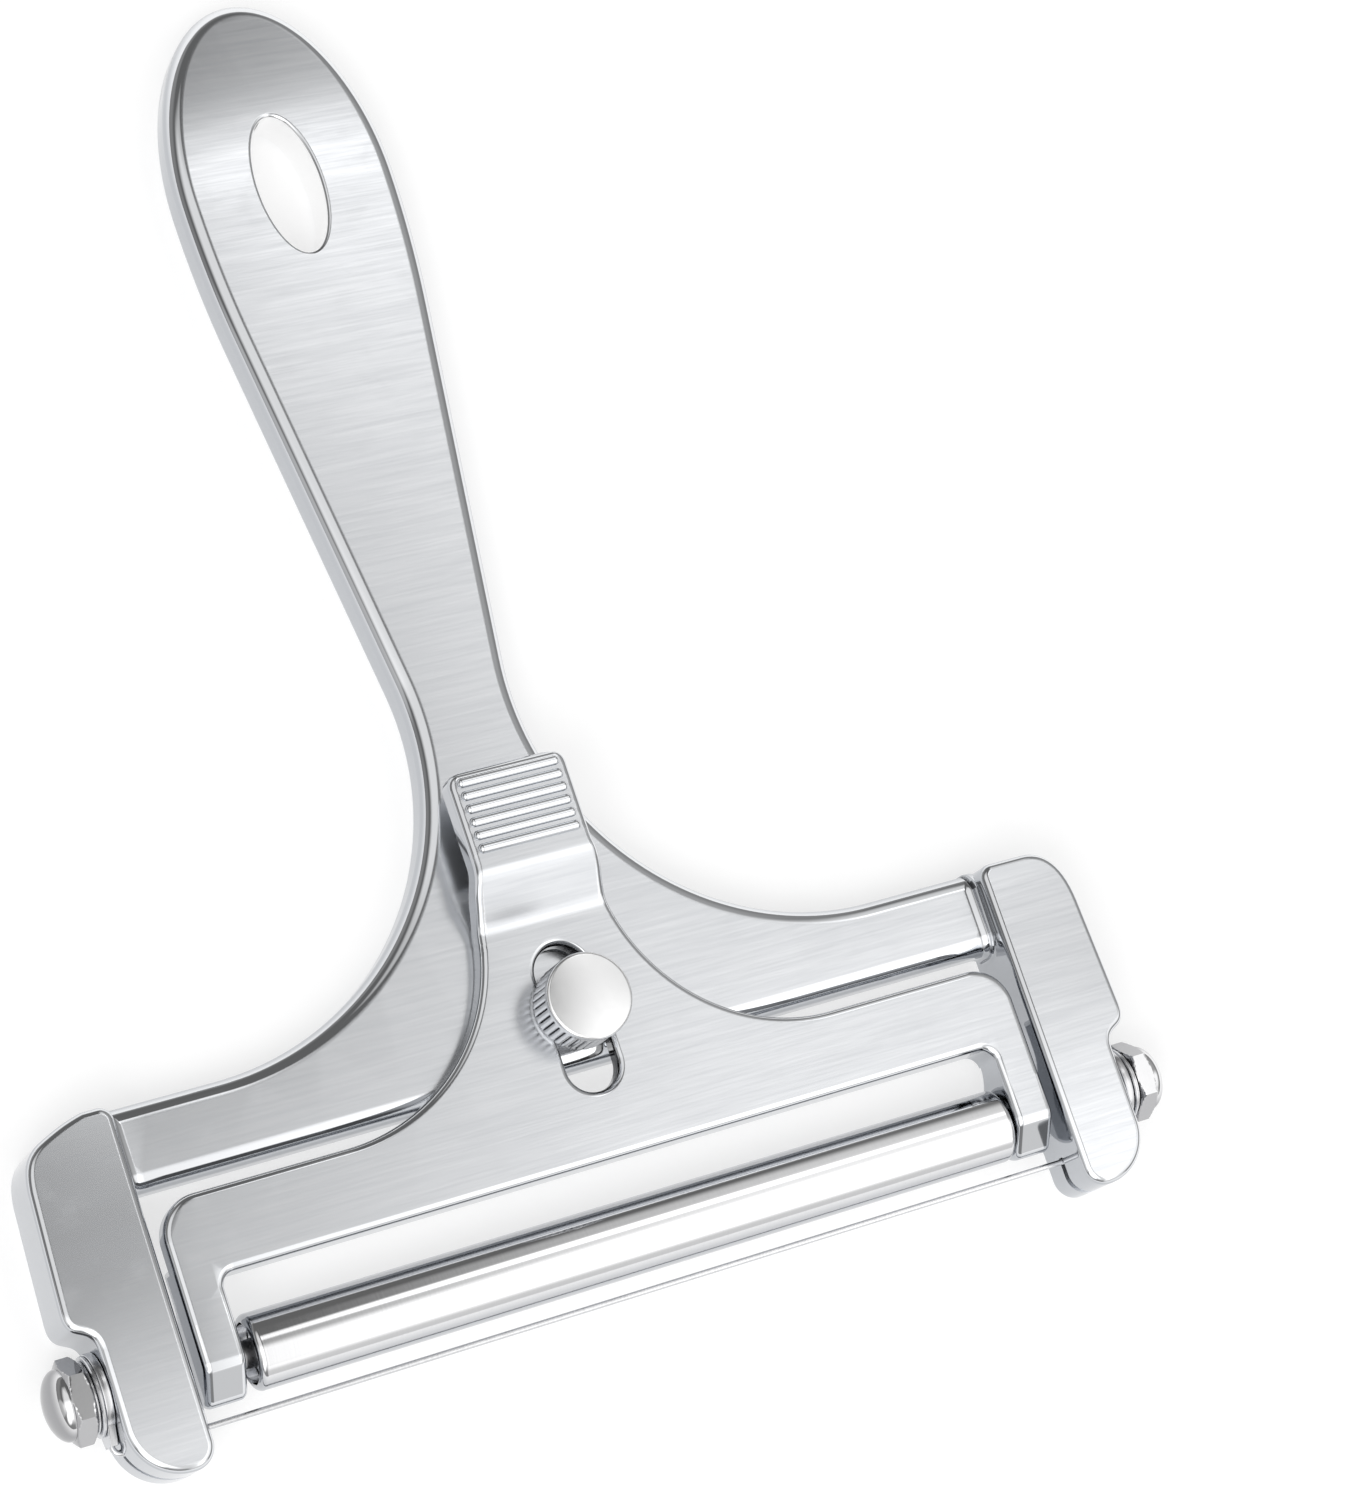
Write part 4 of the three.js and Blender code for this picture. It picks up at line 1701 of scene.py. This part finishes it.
@dataclass
class Studio:
    """Camera, pale floor, soft light and the room that the metal reflects.

    Attributes:
        turn: the camera's rotation, in degrees.
        eye: where the camera is, in millimetres, with Y from the tips of the arms.
        focal: its focal length, in millimetres.
        floor_size: the floor's width, in metres.
        glow: how much light the floor gives off.
    """

    turn: tuple[float, float, float] = (18.1609, -19.8408, -19.7905)
    eye: Point = (-164.624, -24.329, 417.293)
    focal: float = 99.31
    floor_size: float = 3.0
    glow: float = 0.62

    def camera(self) -> None:
        """Sets up the camera."""
        lens = bpy.data.cameras.new("camera")
        lens.lens = self.focal
        lens.sensor_width = 36.0
        lens.sensor_fit = "AUTO"
        lens.clip_start = 0.01
        eye = bpy.data.objects.new("camera", lens)
        eye.rotation_euler = [math.radians(a) for a in self.turn]
        x, y, z = self.eye
        eye.location = (x * MM, (y + TIPS_Y) * MM, z * MM)
        bpy.context.scene.collection.objects.link(eye)
        bpy.context.scene.camera = eye

    def floor(self) -> None:
        """Lays the pale floor."""
        half = self.floor_size / 2
        mesh = bpy.data.meshes.new("floor")
        corners = [(-half, -half, 0), (half, -half, 0), (half, half, 0), (-half, half, 0)]
        mesh.from_pydata(corners, [], [(0, 1, 2, 3)])
        ground = bpy.data.objects.new("floor", mesh)
        ground.location.z = -0.0002
        bpy.context.scene.collection.objects.link(ground)
        paper = bpy.data.materials.new("floor_paper")
        tree = Tree(paper)
        mottle = tree.noise(tree.place(), (300.0, 300.0, 300.0), 2.0)
        color = mottle.blend_colors((0.41, 0.41, 0.41, 1), (0.43, 0.43, 0.43, 1))
        inputs = {"Base Color": color, "Roughness": 0.9, "Emission Strength": self.glow}
        inputs["Emission Color"] = (1.0, 1.0, 1.0, 1.0)
        surface = tree.node("ShaderNodeBsdfPrincipled", None, inputs)
        tree.node("ShaderNodeOutputMaterial", None, {"Surface": surface})
        mesh.materials.append(paper)

    def lamp(self, name: str, place: Point, size: Pair, power: float) -> None:
        """Hangs one soft light that points at the object.

        Args:
            name: its name.
            place: where it hangs, in metres.
            size: its width and height, in metres.
            power: its power, in watts.
        """
        data = bpy.data.lights.new(name, "AREA")
        data.shape = "RECTANGLE"
        data.size, data.size_y = size
        data.energy = power
        lamp = bpy.data.objects.new(name, data)
        lamp.location = place
        lamp.rotation_euler = Vector(place).to_track_quat("Z", "Y").to_euler()
        lamp.visible_glossy = False
        bpy.context.scene.collection.objects.link(lamp)

    def room(self) -> None:
        """Surrounds the scene with a pale ceiling, greyer walls and a few soft panels.

        The ceiling darkens to both sides and towards +Y, and the walls begin below it.
        """
        world = bpy.data.worlds.new("room")
        bpy.context.scene.world = world
        tree = Tree(world)
        look = tree.node("ShaderNodeTexCoord", output="Generated")
        height = look.dot((0.0, 0.0, 1.0))
        x, y = look.part(0), look.part(1)
        ceiling = x.step(0.18, 0.43).blend(0.26, 1.19) - x.step(0.44, 0.6) * 0.62
        ceiling = ceiling + x.step(0.1, -0.06) * height.step(0.45, 0.75) * 0.75
        ceiling = ceiling + y.step(-0.12, 0.2).blend(0.5, -0.2)
        level = height.step(0.22, 0.6).blend(0.26, ceiling) + height.step(0.05, -0.05) * 0.5
        for panel in PANELS:
            toward = tuple(Vector(panel.direction).normalized())
            level = level + look.dot(toward).step(panel.edge, panel.core) * panel.amount
        level = level.at_least(0.13)
        inputs = {"Color": (1.0, 1.0, 1.0, 1.0), "Strength": level}
        back = tree.node("ShaderNodeBackground", None, inputs)
        tree.node("ShaderNodeOutputWorld", None, {"Surface": back})

    def build(self) -> None:
        """Sets the whole studio."""
        self.camera()
        self.floor()
        self.room()
        self.lamp("key", (-0.9, -0.6, 1.1), (0.8, 0.6), 7.0)
        bpy.context.scene.view_settings.view_transform = "Standard"


def main() -> None:
    """Builds the studio and every sub-assembly."""
    logging.basicConfig(level=logging.INFO, format="%(message)s")
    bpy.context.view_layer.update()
    Studio().build()
    shop = Workshop()
    FrameCasting().build(shop)
    RollerCarrier().build(shop)
    Roller().build(shop)
    Clamp().build(shop)
    Terminals().build(shop)
    bpy.context.view_layer.update()


if __name__ == "__main__":
    main()
